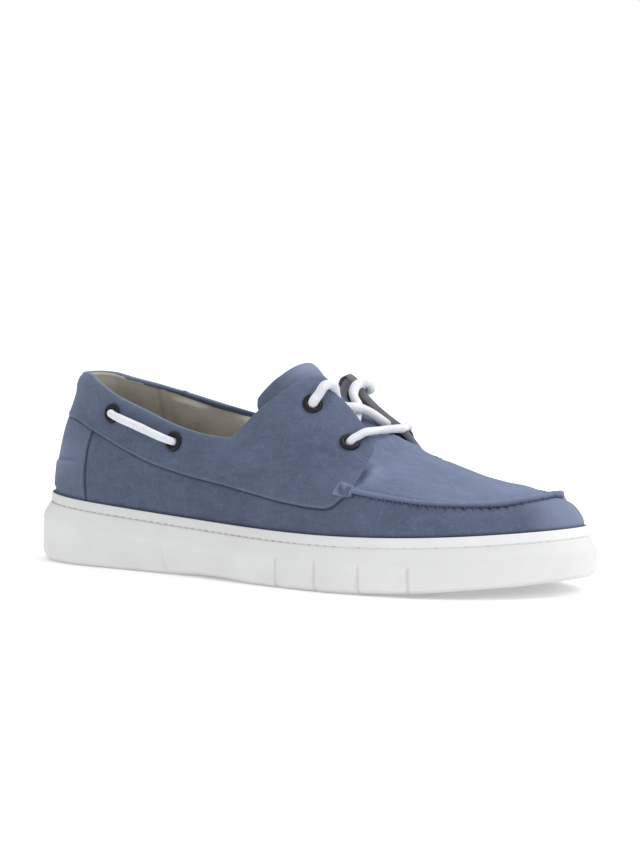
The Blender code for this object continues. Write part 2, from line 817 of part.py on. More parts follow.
def build_tongue():
    rows = [tongue_loop(*row) for row in TONGUE]
    count = len(rows[0])
    points = [point for row in rows for point in row]
    faces = []
    for k in range(len(rows) - 1):
        faces += ring_faces(k * count, (k + 1) * count, count)
    for first, turn in ((0, -1), ((len(rows) - 1) * count, 1)):
        half = count // 2
        for k in range(half):
            lower = [first + k, first + k + 1, first + (count - k - 1), first + (count - k) % count]
            kept = [corner for i, corner in enumerate(lower) if corner not in lower[:i]]
            faces.append(tuple(kept[::turn]))
    return add_object("tongue", points, faces, SUEDE)


# ---- eyelets and lace ---------------------------------------------------------------------------
def build_eyelets():
    """A turned ring in each hole; every eyelet shares one mesh."""
    turns = 14
    points = []
    for radius, height in EYELET_RING:
        for k in range(turns):
            angle = 2 * math.pi * k / turns
            points.append(Vector((radius * math.cos(angle), radius * math.sin(angle), height)) * MM)
    faces = []
    rows = len(EYELET_RING)
    for k in range(rows):
        faces += ring_faces(k * turns, ((k + 1) % rows) * turns, turns)
    mesh = bpy.data.meshes.new("eyelet")
    mesh.from_pydata(points, [], faces)
    shape = bmesh.new()
    shape.from_mesh(mesh)
    bmesh.ops.recalc_face_normals(shape, faces=shape.faces[:])
    shape.to_mesh(mesh)
    shape.free()
    mesh.materials.append(material(METAL))
    mesh.shade_smooth()
    mesh.set_sharp_from_angle(angle=math.radians(35))
    for name, spot, out in eyelet_spots():
        eyelet = bpy.data.objects.new("eyelet_" + name, mesh)
        eyelet.matrix_world = Matrix.Translation(to_frame(spot)) @ turn_to(out)
        bpy.context.scene.collection.objects.link(eyelet)


def lace_tube(name, route):
    """A round run of lace along a smooth path through the route's points."""
    path = smooth_path(route, 3.0)
    sides = 8
    points = []
    ahead = np.gradient(path, axis=0)
    ahead /= np.linalg.norm(ahead, axis=1)[:, None]
    across = np.cross(ahead[0], [0.3, 0.2, 1.0])
    for spot, forward in zip(path, ahead):
        across = across - forward * np.dot(across, forward)
        across /= np.linalg.norm(across)
        up = np.cross(forward, across)
        for k in range(sides):
            angle = 2 * math.pi * k / sides
            rim = across * math.cos(angle) + up * math.sin(angle)
            points.append(spot + rim * LACE / 2)
    faces = []
    for k in range(len(path) - 1):
        faces += ring_faces(k * sides, (k + 1) * sides, sides)
    faces.append(tuple(range(sides))[::-1])
    faces.append(tuple(range((len(path) - 1) * sides, len(path) * sides)))
    return add_object(name, points, faces, CORD)


# A lace leaves an eyelet straight and then bends over: above the leather, sideways
LACE_BEND = ((-2.5, 0.0), (-0.4, 0.0), (1.7, 0.2), (3.4, 1.7), (4.1, 4.6))


def leave(spot, out, target):
    """The points by which the lace leaves an eyelet, towards a target."""
    side = np.asarray(target, float) - spot
    side -= out * np.dot(side, out)
    side /= np.linalg.norm(side)
    return [spot + out * above + side * beside for above, beside in LACE_BEND]


def build_lace():
    spots = {name: (spot, out) for name, spot, out in eyelet_spots()}
    bar, outer, inner = (
        [np.array(point) for point in run] for run in (LACE_BAR, LACE_OUTER_LOOP, LACE_INNER_LOOP)
    )
    lace_tube("lace_bar", leave(*spots["throat_lower_outer"], bar[0]) + bar
              + leave(*spots["throat_lower_inner"], bar[-1])[::-1])
    crossing = lace_tube("lace_crossing", leave(*spots["throat_upper_outer"], outer[0]) + outer)
    second = lace_tube("second_run", inner + leave(*spots["throat_upper_inner"], inner[-1])[::-1])
    second.hide_render = True
    second.display_type = "WIRE"
    join = crossing.modifiers.new("join", "BOOLEAN")
    join.operation = "UNION"
    join.solver = "EXACT"
    join.object = second
    for side in ("outer", "inner"):
        rear, front = spots["side_rear_" + side], spots["side_front_" + side]
        middle = (rear[0] + front[0]) / 2 + (rear[1] + front[1]) / 2 * 4.0
        lace_tube("lace_side_" + side,
                  leave(*rear, front[0]) + [middle] + leave(*front, rear[0])[::-1])


if __name__ == "__main__":
    for old in list(bpy.data.objects):
        bpy.data.objects.remove(old)
    build_outsole()
    build_upper()
    build_insole()
    build_tongue()
    build_eyelets()
    build_lace()
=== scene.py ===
"""Looks for the laced moc-toe boat shoe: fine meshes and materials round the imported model.

Sizes are in millimetres from the back of the heel ("along"), from the middle line ("across") and
from the floor ("height"), as in the part's source, and become metres when a mesh is made. A place
on the shoe's side is given by how far round the sole it stands ("place") and how far up the last
it lies ("step": 0 at the sole, 0.5 at the shoulder, 1 at the opening's edge).
"""
import math

import bpy
import numpy as np
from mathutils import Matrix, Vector


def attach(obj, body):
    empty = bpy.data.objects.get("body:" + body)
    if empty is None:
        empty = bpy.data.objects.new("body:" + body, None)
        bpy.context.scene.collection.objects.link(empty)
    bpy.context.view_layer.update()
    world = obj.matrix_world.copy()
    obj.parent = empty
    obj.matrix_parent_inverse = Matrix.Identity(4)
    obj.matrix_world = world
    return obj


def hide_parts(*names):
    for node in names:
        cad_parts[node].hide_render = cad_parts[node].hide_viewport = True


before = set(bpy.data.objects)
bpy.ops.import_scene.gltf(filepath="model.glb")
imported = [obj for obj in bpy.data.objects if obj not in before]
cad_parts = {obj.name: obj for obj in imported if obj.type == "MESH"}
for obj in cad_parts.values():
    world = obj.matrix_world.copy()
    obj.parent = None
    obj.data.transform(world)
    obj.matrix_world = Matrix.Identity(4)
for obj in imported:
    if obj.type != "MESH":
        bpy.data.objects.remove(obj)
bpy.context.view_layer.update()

MM = 0.001
FINE = 1

# ---- driving sizes, mm, as in the part's source ----
LENGTH = 304
CENTRE = (153, -0.8)
TOE_TIP = 298
TOE_SIDE = 6
HEEL_BACK = 8
WALL = 2
OVERLAY = 1.2
COUNTER = 0.7
CUP_DEPTH = 9
INSOLE_THICK = 4.5
LACE = 3.8
FLAP_FRONT = 214
COUNTER_FRONT = 44.5

# along, outer half, inner half
OUTLINE = (
    (14, 20, 20), (40, 33, 32.5), (72, 35, 33.4), (106, 36.8, 31), (142, 42, 32.3),
    (175, 47.4, 39), (204, 50, 46.2), (230, 48.3, 48.5), (255, 41.8, 46), (277, 28.8, 37.3),
    (292, 11.9, 24),
)
# over, shoulder inset, shoulder height, angles at foot, below, above, at the opening, pull there
SECTIONS = (
    (8, 3, 60, 91, 74, 74, 74, 1), (40, 4, 60, 91, 78, 78, 74, 1), (72, 2, 55, 92, 84, 84, 80, 1),
    (106, 1.5, 50, 92, 85, 85, 80, 1), (142, 3, 52, 92, 78, 78, 70, 1),
    (165, 6, 55, 93, 70, 70, 60, 1), (180, 6, 50, 94, 62, 62, 42, 1),
    (195, 4.8, 45.5, 95, 62, 52, 30, 1), (208, 4.5, 45, 96, 66, 42, 26, 1),
    (230, 4, 42.6, 96, 72, 28, 26, 0.9), (255, 5, 40.4, 96, 62, 18, 26, 0.75),
    (277, 8, 39.9, 98, 42, 14.5, 26, 0.75), (292, 10, 41.6, 100, 26, 12.5, 26, 0.75),
    (298, 11.4, 43, 101, 20, 11, 26, 0.75),
)
# over, along, half, height, inner along, inner height of the opening's edge
OPENING = (
    (8, 22.5, 0, 90.4, 22.5, 90.4), (14, 25, 10, 90.6, 25, 89.9), (28, 34, 18, 90, 34, 87.2),
    (44, 44.5, 23.5, 86.9, 44.5, 84.5), (60, 59, 27.7, 81.7, 59, 80.9),
    (80, 79, 30.3, 75.6, 79, 76.2), (106, 105, 32.3, 67.8, 105, 70.8),
    (124, 123, 33, 64.9, 123, 68), (137, 134.5, 33, 64.4, 133, 66.8),
    (139, 136.5, 32.9, 65.8, 134.6, 68), (151, 149.5, 31, 77.6, 145, 79.5),
    (159, 159.5, 28.8, 85.3, 152, 87.5), (166, 168, 25, 91, 157.3, 92.5),
    (171, 173, 22, 93.1, 162, 94.4), (175, 177, 18.6, 90.8, 167.3, 91.2),
    (179, 181.3, 17, 87.2, 172.2, 86.7), (186, 187.6, 15.2, 81.6, 181, 80.4),
    (196, 195.5, 14.5, 73.2, 191, 73.6), (204, 201.5, 15.5, 67.2, 199.5, 67.8),
    (210, 205, 18, 63.4, 205, 63.4), (222, 207.5, 13, 61.6, 207.5, 61.6),
    (250, 211, 7, 60.6, 211, 60.6), (298, 212.5, 0, 60.2, 212.5, 60.2),
)
# over, height of the overlay's lower edge
OVERLAY_EDGE = (
    (8, 70.5), (27, 69.5), (47.5, 64.3), (75, 54.8), (88, 50.8), (114.5, 46), (134, 43.7),
    (160, 40.1), (179, 38), (192, 37), (200, 36.9), (205, 38.2), (208.5, 41.2), (211.5, 43.4),
    (213.6, 44.4),
)
SOLE_RIM = (33.7, 26.3, 20.8, 30.2)
TOE_SPRING, SPRING_FROM = 8, 192
HEEL_BEVEL, BEVEL_FROM = 3, 30
ARCH_RISE, ARCH_AT, ARCH_REACH = 1.2, 128, 36
GROOVES = tuple(176.5 + 23 * k for k in range(4))
GROOVE_REACH = 1.4
STRUT_AT, STRUT_SLANT, STRUT_REACH = 100.6, 6, 26

# name, along, height, inner along, inner height
EYELETS = (
    ("throat_upper", 176.6, 81.8, 162.5, 83), ("throat_lower", 197.4, 64.7, 192, 66.2),
    ("side_rear", 60.2, 73.2, 60.2, 72.5), ("side_front", 101.2, 61.8, 101.2, 64),
)


# ---- curves ----
def cubic(start, end, lean_start, lean_end, t):
    """A cubic from start to end with these leans, at t from 0 to 1."""
    return (
        start * (1 + 2 * t) * (1 - t) ** 2 + lean_start * t * (1 - t) ** 2
        + end * t * t * (3 - 2 * t) + lean_end * t * t * (t - 1)
    )


def span_of(knots, at):
    """The number of the gap between knots that a value lies in."""
    return np.clip(np.searchsorted(knots, at, side="right") - 1, 0, len(knots) - 2)


def glide(knots, values, at, level=False):
    """A smooth curve through the knots that never swings past them; level at its ends if asked."""
    knots, values = np.asarray(knots, float), np.asarray(values, float)
    step = np.diff(knots)
    slope = np.diff(values) / step
    lean = np.zeros_like(values)
    lean[0], lean[-1] = (0, 0) if level else (slope[0], slope[-1])
    for i in range(1, len(knots) - 1):
        if slope[i - 1] * slope[i] > 0:
            first, second = 2 * step[i] + step[i - 1], step[i] + 2 * step[i - 1]
            lean[i] = (first + second) / (first / slope[i - 1] + second / slope[i])
    at = np.clip(at, knots[0], knots[-1])
    i = span_of(knots, at)
    return cubic(values[i], values[i + 1], lean[i] * step[i], lean[i + 1] * step[i],
                 (at - knots[i]) / step[i])


def profile(rows, at):
    """Read a two-column table of knots and values."""
    return glide([row[0] for row in rows], [row[1] for row in rows], at)


def ease(low, high, at):
    """0 below low, 1 above high, and smooth between."""
    t = np.clip((at - low) / (high - low), 0, 1)
    return t * t * (3 - 2 * t)


def bell(at, middle, width):
    return np.exp(-((at - middle) / width) ** 2)


def unit(vectors):
    return vectors / np.maximum(np.linalg.norm(vectors, axis=-1, keepdims=True), 1e-9)


def lengths(points):
    """Distance along each row of points from its first one."""
    step = np.linalg.norm(np.diff(points, axis=-2), axis=-1)
    return np.concatenate([np.zeros(step.shape[:-1] + (1,)), np.cumsum(step, axis=-1)], axis=-1)


def read_path(at, knots, points):
    """Points of a path, or of what goes with it, at distances along it."""
    return np.stack([np.interp(at, knots, column) for column in points.T], axis=-1)


def closed_curve(points, samples):
    """A smooth closed curve through the points, as evenly numbered samples."""
    closed = np.array(points + points[:1], float)
    points, knots = closed[:-1], lengths(closed)
    step = np.linalg.norm(np.diff(closed, axis=0), axis=1)
    rise = np.diff(closed, axis=0) / step[:, None]
    matrix = np.diag(2 * (step + np.roll(step, 1)))
    for i in range(len(points)):
        matrix[i, i - 1] += step[i - 1]
        matrix[i - 1, i] += step[i - 1]
    bend = np.linalg.solve(matrix, 6 * (rise - np.roll(rise, 1, axis=0)))
    at = np.linspace(0, knots[-1], samples, endpoint=False)
    i = span_of(knots, at)
    j = (i + 1) % len(points)
    h = step[i][:, None]
    a = (knots[i + 1] - at)[:, None] / h
    b = 1 - a
    return a * points[i] + b * points[j] + (
        (a ** 3 - a) * bend[i] + (b ** 3 - b) * bend[j]) * h * h / 6


def smooth_path(points, spacing):
    """A smooth open path through given points, with a point every `spacing` mm."""
    points = np.asarray(points, float)
    knots = lengths(points)
    lean = np.gradient(points, knots, axis=0)
    at = np.linspace(0, knots[-1], max(4, int(round(knots[-1] / spacing)) + 1))
    i = span_of(knots, at)
    h = (knots[i + 1] - knots[i])[:, None]
    return cubic(points[i], points[i + 1], lean[i] * h, lean[i + 1] * h,
                 (at - knots[i])[:, None] / h)


# ---- the last ----
class Ring:
    """The line round the foot where upper and sole meet, measured along it from the heel's back,
    by the outer side to the toe and back along the inner side."""

    def __init__(self):
        outer = [(along, -half) for along, half, _ in OUTLINE]
        inner = [(along, half) for along, _, half in OUTLINE]
        points = [(HEEL_BACK, 0)] + outer + [(TOE_TIP, TOE_SIDE)] + inner[::-1]
        line = closed_curve(points, 1440)
        self.closed = np.vstack([line, line[:1]])
        self.at = lengths(self.closed)
        self.whole = self.at[-1]
        toe = int(np.argmax(line[:, 0]))
        self.toe = self.at[toe]
        back = self.closed[toe:][::-1]
        self.sides = ((line[:toe + 1, 0], self.at[:toe + 1]), (back[:, 0], self.at[toe:][::-1]))

    def point(self, place):
        return read_path(np.mod(place, self.whole), self.at, self.closed)

    def inward(self, place):
        ahead = unit(self.point(place + 1.5) - self.point(place - 1.5))
        return np.stack([-ahead[..., 1], ahead[..., 0]], axis=-1)

    def place(self, along, inner):
        """Where on the ring a given along lies, on the inner or the outer side."""
        alongs, places = self.sides[inner]
        return float(np.interp(along, np.maximum.accumulate(alongs), places))

    def reach(self, place):
        """Distance from the heel's back along the side that the place is on, and that side."""
        place = np.mod(place, self.whole)
        inner = place > self.toe
        return np.where(inner, self.whole - place, place), inner


RING = Ring()
WHOLE = RING.whole


def both_sides(alongs):
    """The places of some alongs, on the outer and the inner side."""
    return [RING.place(along, inner) for along in alongs for inner in (False, True)]


class SideTable:
    """A table whose first column is a place on the sole, read on either side of the shoe."""

    def __init__(self, rows):
        self.rows = rows
        self.knots = []
        for inner in (False, True):
            knots = [RING.reach(RING.place(row[0], inner))[0] for row in rows]
            if rows[0][0] <= HEEL_BACK:
                knots[0] = 0
            if rows[-1][0] >= TOE_TIP:
                knots[-1] = WHOLE - RING.toe if inner else RING.toe
            self.knots.append(knots)

    def value(self, column, place, level=False):
        reach, inner = RING.reach(place)
        values = [row[column] for row in self.rows]
        outer_value, inner_value = (glide(knots, values, reach, level) for knots in self.knots)
        return np.where(inner, inner_value, outer_value)


SECTION_TABLE, OPENING_TABLE, OVERLAY_TABLE = map(SideTable, (SECTIONS, OPENING, OVERLAY_EDGE))
FRONT_OUTER, FRONT_INNER = both_sides([FLAP_FRONT])
START = FRONT_INNER - WHOLE     # the inner flap's front, counted back from the heel


def rim_height(along):
    """Height of the sole's rim."""
    t = np.clip((along - HEEL_BACK) / (TOE_TIP - HEEL_BACK), 0, 1)
    a, b, c, d = SOLE_RIM
    return a * (1 - t) ** 3 + 3 * b * t * (1 - t) ** 2 + 3 * c * t * t * (1 - t) + d * t ** 3


def under_height(along):
    """Height of the sole's underside."""
    toe = np.maximum(0, (along - SPRING_FROM) / (LENGTH - SPRING_FROM))
    back = np.maximum(0, (BEVEL_FROM - along) / BEVEL_FROM)
    waist = np.maximum(0, 1 - ((along - ARCH_AT) / ARCH_REACH) ** 2)
    return TOE_SPRING * toe ** 2 + HEEL_BEVEL * back ** 2 + ARCH_RISE * waist ** 2


def opening_edge(place):
    """The edge of the collar, flaps and throat above a place on the ring."""
    inner = RING.reach(place)[1]
    along, height = (
        np.where(inner, *(OPENING_TABLE.value(i, place, level=True) for i in columns))
        for columns in ((4, 1), (5, 3))
    )
    half = OPENING_TABLE.value(2, place)
    return np.stack([along, np.where(inner, half, -half), height], axis=-1)


def lean(direction, angle):
    """Unit vectors that rise at angles, in degrees, from level directions."""
    angle = np.radians(angle)[..., None]
    return np.concatenate([direction * np.cos(angle), np.sin(angle)], axis=-1)


def last(place, step):
    """The last's surface at places round the sole and steps up from it."""
    place, step = np.broadcast_arrays(np.asarray(place, float), np.asarray(step, float))
    foot, inward = RING.point(place), RING.inward(place)
    inset, height, at_foot, below, above, at_top, pull = (
        SECTION_TABLE.value(i, place) for i in range(1, 8)
    )
    start = np.concatenate([foot, rim_height(foot[..., 0])[..., None]], axis=-1)
    shoulder = np.concatenate([foot + inward * inset[..., None], height[..., None]], axis=-1)
    top = opening_edge(place)
    across = unit(top[..., :2] - shoulder[..., :2])
    low = np.linalg.norm(shoulder - start, axis=-1)[..., None]
    high = np.linalg.norm(top - shoulder, axis=-1)[..., None]
    up = step[..., None] * 2
    lower = cubic(start, shoulder, lean(inward, at_foot) * low, lean(inward, below) * low,
                  np.clip(up, 0, 1))
    upper = cubic(shoulder, top, lean(across, above) * high,
                  lean(across, at_top) * high * pull[..., None], np.clip(up - 1, 0, 1))
    return np.where(up < 1, lower, upper)


def surface(place, step):
    """The last's surface and the way out of it."""
    side = last(place + 0.8, step) - last(place - 0.8, step)
    rise = last(place, np.minimum(1, step + 0.02)) - last(place, np.maximum(0, step - 0.02))
    return last(place, step), unit(np.cross(side, rise))


def overlay_step(place):
    """How far up the last the overlay's lower edge lies."""
    height = OVERLAY_TABLE.value(1, place)
    steps = np.linspace(0, 1, 121)
    heights = last(np.asarray(place)[..., None], steps)[..., 2]
    above = np.argmax(heights >= height[..., None], axis=-1)
    below = np.maximum(0, above - 1)
    high = np.take_along_axis(heights, above[..., None], -1)[..., 0]
    low = np.take_along_axis(heights, below[..., None], -1)[..., 0]
    share = (height - low) / np.maximum(1e-6, high - low)
    return steps[below] + share * (steps[above] - steps[below])


def on_upper(along, height, inner):
    """Point and way out of the last's surface at a given along and height."""
    centre, spread, low, high = RING.place(along, inner), 26, 0, 1
    for _ in range(5):
        places = np.linspace(centre - spread, centre + spread, 41)[:, None]
        steps = np.linspace(low, high, 61)[None, :]
        points = last(places, steps)
        miss = np.hypot(points[..., 0] - along, points[..., 2] - height)
        i, j = np.unravel_index(int(np.argmin(miss)), miss.shape)
        centre, step = float(places[i, 0]), float(steps[0, j])
        spread *= 0.2
        reach = (high - low) * 0.15
        low, high = max(0, step - reach), min(1, step + reach)
    return surface(centre, step)


# ---- meshes ----
def add_mesh(name, points, faces, materials, nodes, tone=None, face_slots=None):
    """A smooth piece that rides on the root, takes the given materials and stands for some nodes;
    tone is a number per vertex that its material reads as shade."""
    mesh = bpy.data.meshes.new(name)
    points = (np.asarray(points, float).reshape(-1, 3) - (*CENTRE, 0)) * MM
    faces = np.asarray(faces, dtype=np.int32)
    count, size = faces.shape
    mesh.vertices.add(len(points))
    mesh.vertices.foreach_set("co", points.ravel())
    mesh.loops.add(count * size)
    mesh.loops.foreach_set("vertex_index", faces.ravel())
    mesh.polygons.add(count)
    mesh.polygons.foreach_set("loop_start", np.arange(0, count * size, size, dtype=np.int32))
    if face_slots is not None:
        mesh.polygons.foreach_set("material_index", face_slots.ravel().astype(np.int32))
    for kind in materials:
        mesh.materials.append(kind)
    mesh.update(calc_edges=True)
    mesh.validate()
    if tone is not None:
        layer = mesh.attributes.new("tone", "FLOAT", "POINT")
        layer.data.foreach_set("value", tone.ravel().astype(np.float32))
    mesh.shade_smooth()
    piece = bpy.data.objects.new(name, mesh)
    bpy.context.scene.collection.objects.link(piece)
    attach(piece, "root")
    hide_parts(*nodes)
    return piece


def grid_faces(rows, columns, close_rows=False, close_columns=False, flip=False):
    """Quads of a grid of vertices, rows by columns."""
    i = np.arange(rows if close_rows else rows - 1)[:, None]
    j = np.arange(columns if close_columns else columns - 1)[None, :]
    below, beside = (i + 1) % rows, (j + 1) % columns
    quads = np.stack([i * columns + j, i * columns + beside, below * columns + beside,
                      below * columns + j], axis=-1).reshape(-1, 4)
    return quads[:, ::-1] if flip else quads


def add_grid(name, points, materials, node, tone, close_rows=False, flip=False):
    """A piece that is one whole grid of vertices."""
    faces = grid_faces(*points.shape[:2], close_rows=close_rows, flip=flip)
    add_mesh(name, points, faces, materials, [node], tone)


def spaced(stops):
    """Numbers from the first stop to the last; each stop is (at, spacing up to the next one)."""
    numbers = []
    for (start, gap), (end, _) in zip(stops[:-1], stops[1:]):
        parts = max(1, int(round((end - start) / (gap * FINE))))
        numbers += list(np.linspace(start, end, parts, endpoint=False))
    return np.array(numbers + [stops[-1][0]])


def ripple(points, size, seed):
    """A smooth wandering number from about -1 to 1 at points, with features about `size` mm."""
    draw = np.random.default_rng(seed)
    total = np.zeros(points.shape[:-1])
    for _ in range(7):
        way = unit(draw.normal(size=3)) * (2 * math.pi / (size * draw.uniform(0.7, 1.7)))
        total += np.sin(points @ way + draw.uniform(0, 6.28))
    return total / 3.2


def crease(points, route, width, depth, ends=0.25):
    """A soft trough (or, with a negative depth, ridge) along a given route, fading at its ends.
    Returns how far each point moves along its way out."""
    route = smooth_path(route, 1)
    share = np.linspace(0, 1, len(route))
    flat = points.reshape(-1, 3)
    near = np.full(len(flat), 1e9)
    at = np.zeros(len(flat))
    low, high = route.min(0) - 3 * width, route.max(0) + 3 * width
    inside = np.where(np.all((flat > low) & (flat < high), axis=1))[0]
    for spot, along in zip(route, share):
        away = np.linalg.norm(flat[inside] - spot, axis=1)
        closer = away < near[inside]
        near[inside[closer]] = away[closer]
        at[inside[closer]] = along
    fade = np.clip(np.minimum(at, 1 - at) / ends, 0, 1)
    move = -depth * np.exp(-(near / width) ** 2) * fade
    return move.reshape(points.shape[:-1])


def creases(points, rows, side=1):
    """Several creases: width, depth, how far the ends fade, then the route, in each row."""
    return sum(crease(points, np.array(route, float) * (1, side, 1), width, depth, ends)
               for width, depth, ends, *route in rows)


# ---- materials ----
def paint(red, green, blue):
    """A colour as it looks on a screen, 0 to 255, as the number that a shader takes."""
    shade = np.array([red, green, blue]) / 255
    shade = np.where(shade <= 0.04045, shade / 12.92, ((shade + 0.055) / 1.055) ** 2.4)
    return (*shade, 1)


def tinted(colour, share):
    return [part * share for part in colour[:3]] + [1]


class Nodes:
    """A node tree under way, with short ways to add to it."""

    def __init__(self, tree):
        self.tree = tree

    def feed(self, node, inputs):
        for name, value in inputs.items():
            if isinstance(value, bpy.types.NodeSocket):
                self.tree.links.new(value, node.inputs[name])
            else:
                node.inputs[name].default_value = value

    def add(self, kind, output, inputs, **settings):
        """Add a node and give back one of its outputs."""
        node = self.tree.nodes.new("ShaderNode" + kind)
        for name, value in settings.items():
            setattr(node, name, value)
        self.feed(node, inputs)
        return node.outputs[output]

    def span(self, value, low, high, to_low=0, to_high=1, way="LINEAR"):
        return self.add("MapRange", "Result", {
            "Value": value, "From Min": low, "From Max": high, "To Min": to_low, "To Max": to_high,
        }, interpolation_type=way)


class Look(Nodes):
    """A procedural material under way."""

    def __init__(self, name):
        self.made = bpy.data.materials.new(name)
        self.made.use_nodes = True
        super().__init__(self.made.node_tree)
        self.place = self.add("TexCoord", "Object", {})

    def tone(self):
        return self.add("Attribute", "Fac", {}, attribute_name="tone")

    def noise(self, size, detail=2, roughness=0.6, twist=0, stretch=None):
        """Cloudy noise whose spots are about `size` mm across."""
        place = self.place
        if stretch:
            place = self.add("Mapping", "Vector", {"Vector": place, "Scale": stretch})
        return self.add("TexNoise", "Fac", {
            "Vector": place, "Scale": 1000 / size, "Detail": detail, "Roughness": roughness,
            "Distortion": twist,
        })

    def done(self, base, layers, bumps, **sockets):
        """The finished material. Each layer turns the colour where its value goes from low to
        high, by a share at most; each bump's height stands for some mm, at a strength."""
        for value, low, high, share, colour in layers:
            share = self.span(value, low, high, 0, share)
            base = self.add("Mix", 2, {"Factor": share, 6: base, 7: colour}, data_type="RGBA")
        under = {}
        for height, depth, strength in bumps:
            inputs = {"Strength": strength, "Distance": depth * MM, "Height": height}
            under = {"Normal": self.add("Bump", "Normal", inputs | under)}
        self.feed(self.tree.nodes["Principled BSDF"], {"Base Color": base} | under | {
            name.replace("_", " "): value for name, value in sockets.items()})
        return self.made


def suede(name, colour, pale_and_highlight, dark_and_shade):
    """Brushed suede: clouds of nap lying this way and that, short fibres and pale flecks. Where the
    mesh's tone is above 0 it is painted lighter, mostly as painted highlight, and where it is below 0
    it is painted darker as painted shade."""
    look = Look(name)
    clouds = look.noise(34, 3, 0.6, 0.8)
    nap = look.noise(8, 4, 0.62, 1.6, (0.5, 1, 1.2))
    brush = look.noise(3.2, 3, 0.65, 1, (1, 0.8, 0.6))
    fleck = look.noise(1.3, 2, 0.7)
    fibre = look.noise(0.42, 2, 0.7, 0, (0.6, 1, 1))
    tone = look.tone()
    layers = (
        (clouds, 0.32, 0.68, 1, tinted(colour, 1.13)),
        (nap, 0.5, 0.72, 0.6, tinted(colour, 1.26)),
        (nap, 0.5, 0.3, 0.5, tinted(colour, 0.78)),
        (brush, 0.54, 0.74, 0.55, tinted(colour, 1.3)),
        (fleck, 0.6, 0.76, 0.4, pale_and_highlight),
        (fleck, 0.42, 0.26, 0.35, dark_and_shade),
        (fibre, 0.3, 0.7, 0.25, dark_and_shade),
        # the mesh's tone paints highlight above 0 and shade below 0
        (tone, 0, 1, 1, pale_and_highlight),
        (tone, 0, -1, 1, dark_and_shade),
    )
    bumps = (nap, 0.5, 0.3), (brush, 0.3, 0.35), (fleck, 0.16, 0.4), (fibre, 0.1, 0.5)
    return look.done(tinted(colour, 0.87), layers, bumps, Specular_IOR_Level=0.16,
                     Roughness=look.span(nap, 0.3, 0.7, 0.86, 1), Sheen_Weight=0.26,
                     Sheen_Roughness=0.45, Sheen_Tint=paint(196, 203, 235))


def leather(name, colour, dark_and_shade, grain=0.9, roughness=0.62, beyond=None):
    """Lining leather: fine pebbled grain, clouded colour and darker creases, with painted shade, and
    darker seams, where the mesh's tone falls below 0. Where the mesh's tone is 1, it turns to the
    colour of the piece that it is sewn to."""
    look = Look(name)
    clouds, fine, tone = look.noise(26, 3), look.noise(0.5), look.tone()
    cell = look.add("TexVoronoi", "Distance", {"Vector": look.place, "Scale": 1000 / grain})
    crown = look.add("Math", "Value", {0: 1, 1: cell}, operation="SUBTRACT")
    layers = (
        (clouds, 0.3, 0.72, 1, tinted(colour, 1.1)),
        (cell, 0.45, 0.75, 0.2, dark_and_shade),
        # painted shade where the mesh's tone falls below 0
        (tone, 0, -1, 1, dark_and_shade),
        (tone, 0.45, 0.55, 1, beyond or colour),
    )
    return look.done(tinted(colour, 0.9), layers, ((crown, 0.1, 0.45), (fine, 0.06, 0.5)),
                     Roughness=look.span(clouds, 0.3, 0.7, roughness - 0.08, roughness + 0.1),
                     Specular_IOR_Level=0.35)


def rubber(name):
    """Moulded white rubber: faint mottling and moulding texture, with a warmer foxing band, which the
    mesh marks with tone 1, and grey towards tone -1: painted shade in the side's stitch groove and
    flex grooves and towards the toe, and a darkening in the tread's grooves and along the side's
    bottom edge."""
    look = Look(name)
    clouds, speck, skin, tone = look.noise(30, 3), look.noise(0.9), look.noise(0.35), look.tone()
    band = look.add("Mix", 2, {
        "Factor": look.span(speck, 0.35, 0.7), 6: paint(211, 213, 210), 7: paint(223, 224, 221),
    }, data_type="RGBA")
    layers = (
        (clouds, 0.3, 0.7, 1, paint(240, 240, 239)),
        (speck, 0.62, 0.8, 0.35, paint(222, 222, 219)),
        (tone, 0, 1, 1, band),
        # grey where the tone falls below 0: painted shade in the side's grooves and towards the toe,
        # and darker tread grooves and bottom edge
        (tone, 0, -1, 1, paint(150, 152, 150)),
    )
    return look.done(paint(232, 232, 231), layers, ((speck, 0.08, 0.25), (skin, 0.05, 0.5)),
                     Roughness=look.span(clouds, 0.3, 0.7, 0.5, 0.62), Specular_IOR_Level=0.42)


def cord(name):
    """Round braided cotton: white crowns and painted shade in the gaps between strands, which the
    mesh marks with its tone.
    """
    look = Look(name)
    layers = (
        (look.noise(5, 2, 0.5), 0.3, 0.7, 1, paint(246, 246, 248)),
        # painted shade in the gaps between the strands, where the tone falls below 0
        (look.tone(), 0, -1, 1, paint(178, 182, 198)),
    )
    return look.done(paint(236, 237, 242), layers, ((look.noise(0.3, 2, 0.7), 0.07, 0.6),),
                     Roughness=0.85, Specular_IOR_Level=0.2, Sheen_Weight=0.25,
                     Sheen_Roughness=0.5, Sheen_Tint=paint(245, 246, 255))


def enamel(name):
    """Black enamelled brass with small chips of wear."""
    look = Look(name)
    wear = look.noise(1.1, 3)
    return look.done(paint(31, 32, 35), ((wear, 0.62, 0.72, 0.6, paint(86, 84, 80)),),
                     ((look.noise(0.25), 0.02, 0.5),), Metallic=0.55,
                     Roughness=look.span(wear, 0.3, 0.7, 0.3, 0.5))


def bare_metal(name):
    """The bare metal of an eyelet's bore."""
    look = Look(name)
    brushed = look.noise(0.4, stretch=(1, 1, 0.15))
    return look.done(paint(92, 88, 82), ((brushed, 0.3, 0.7, 1, paint(156, 150, 140)),),
                     ((brushed, 0.02, 0.4),), Metallic=0.9,
                     Roughness=look.span(brushed, 0.3, 0.7, 0.24, 0.4))


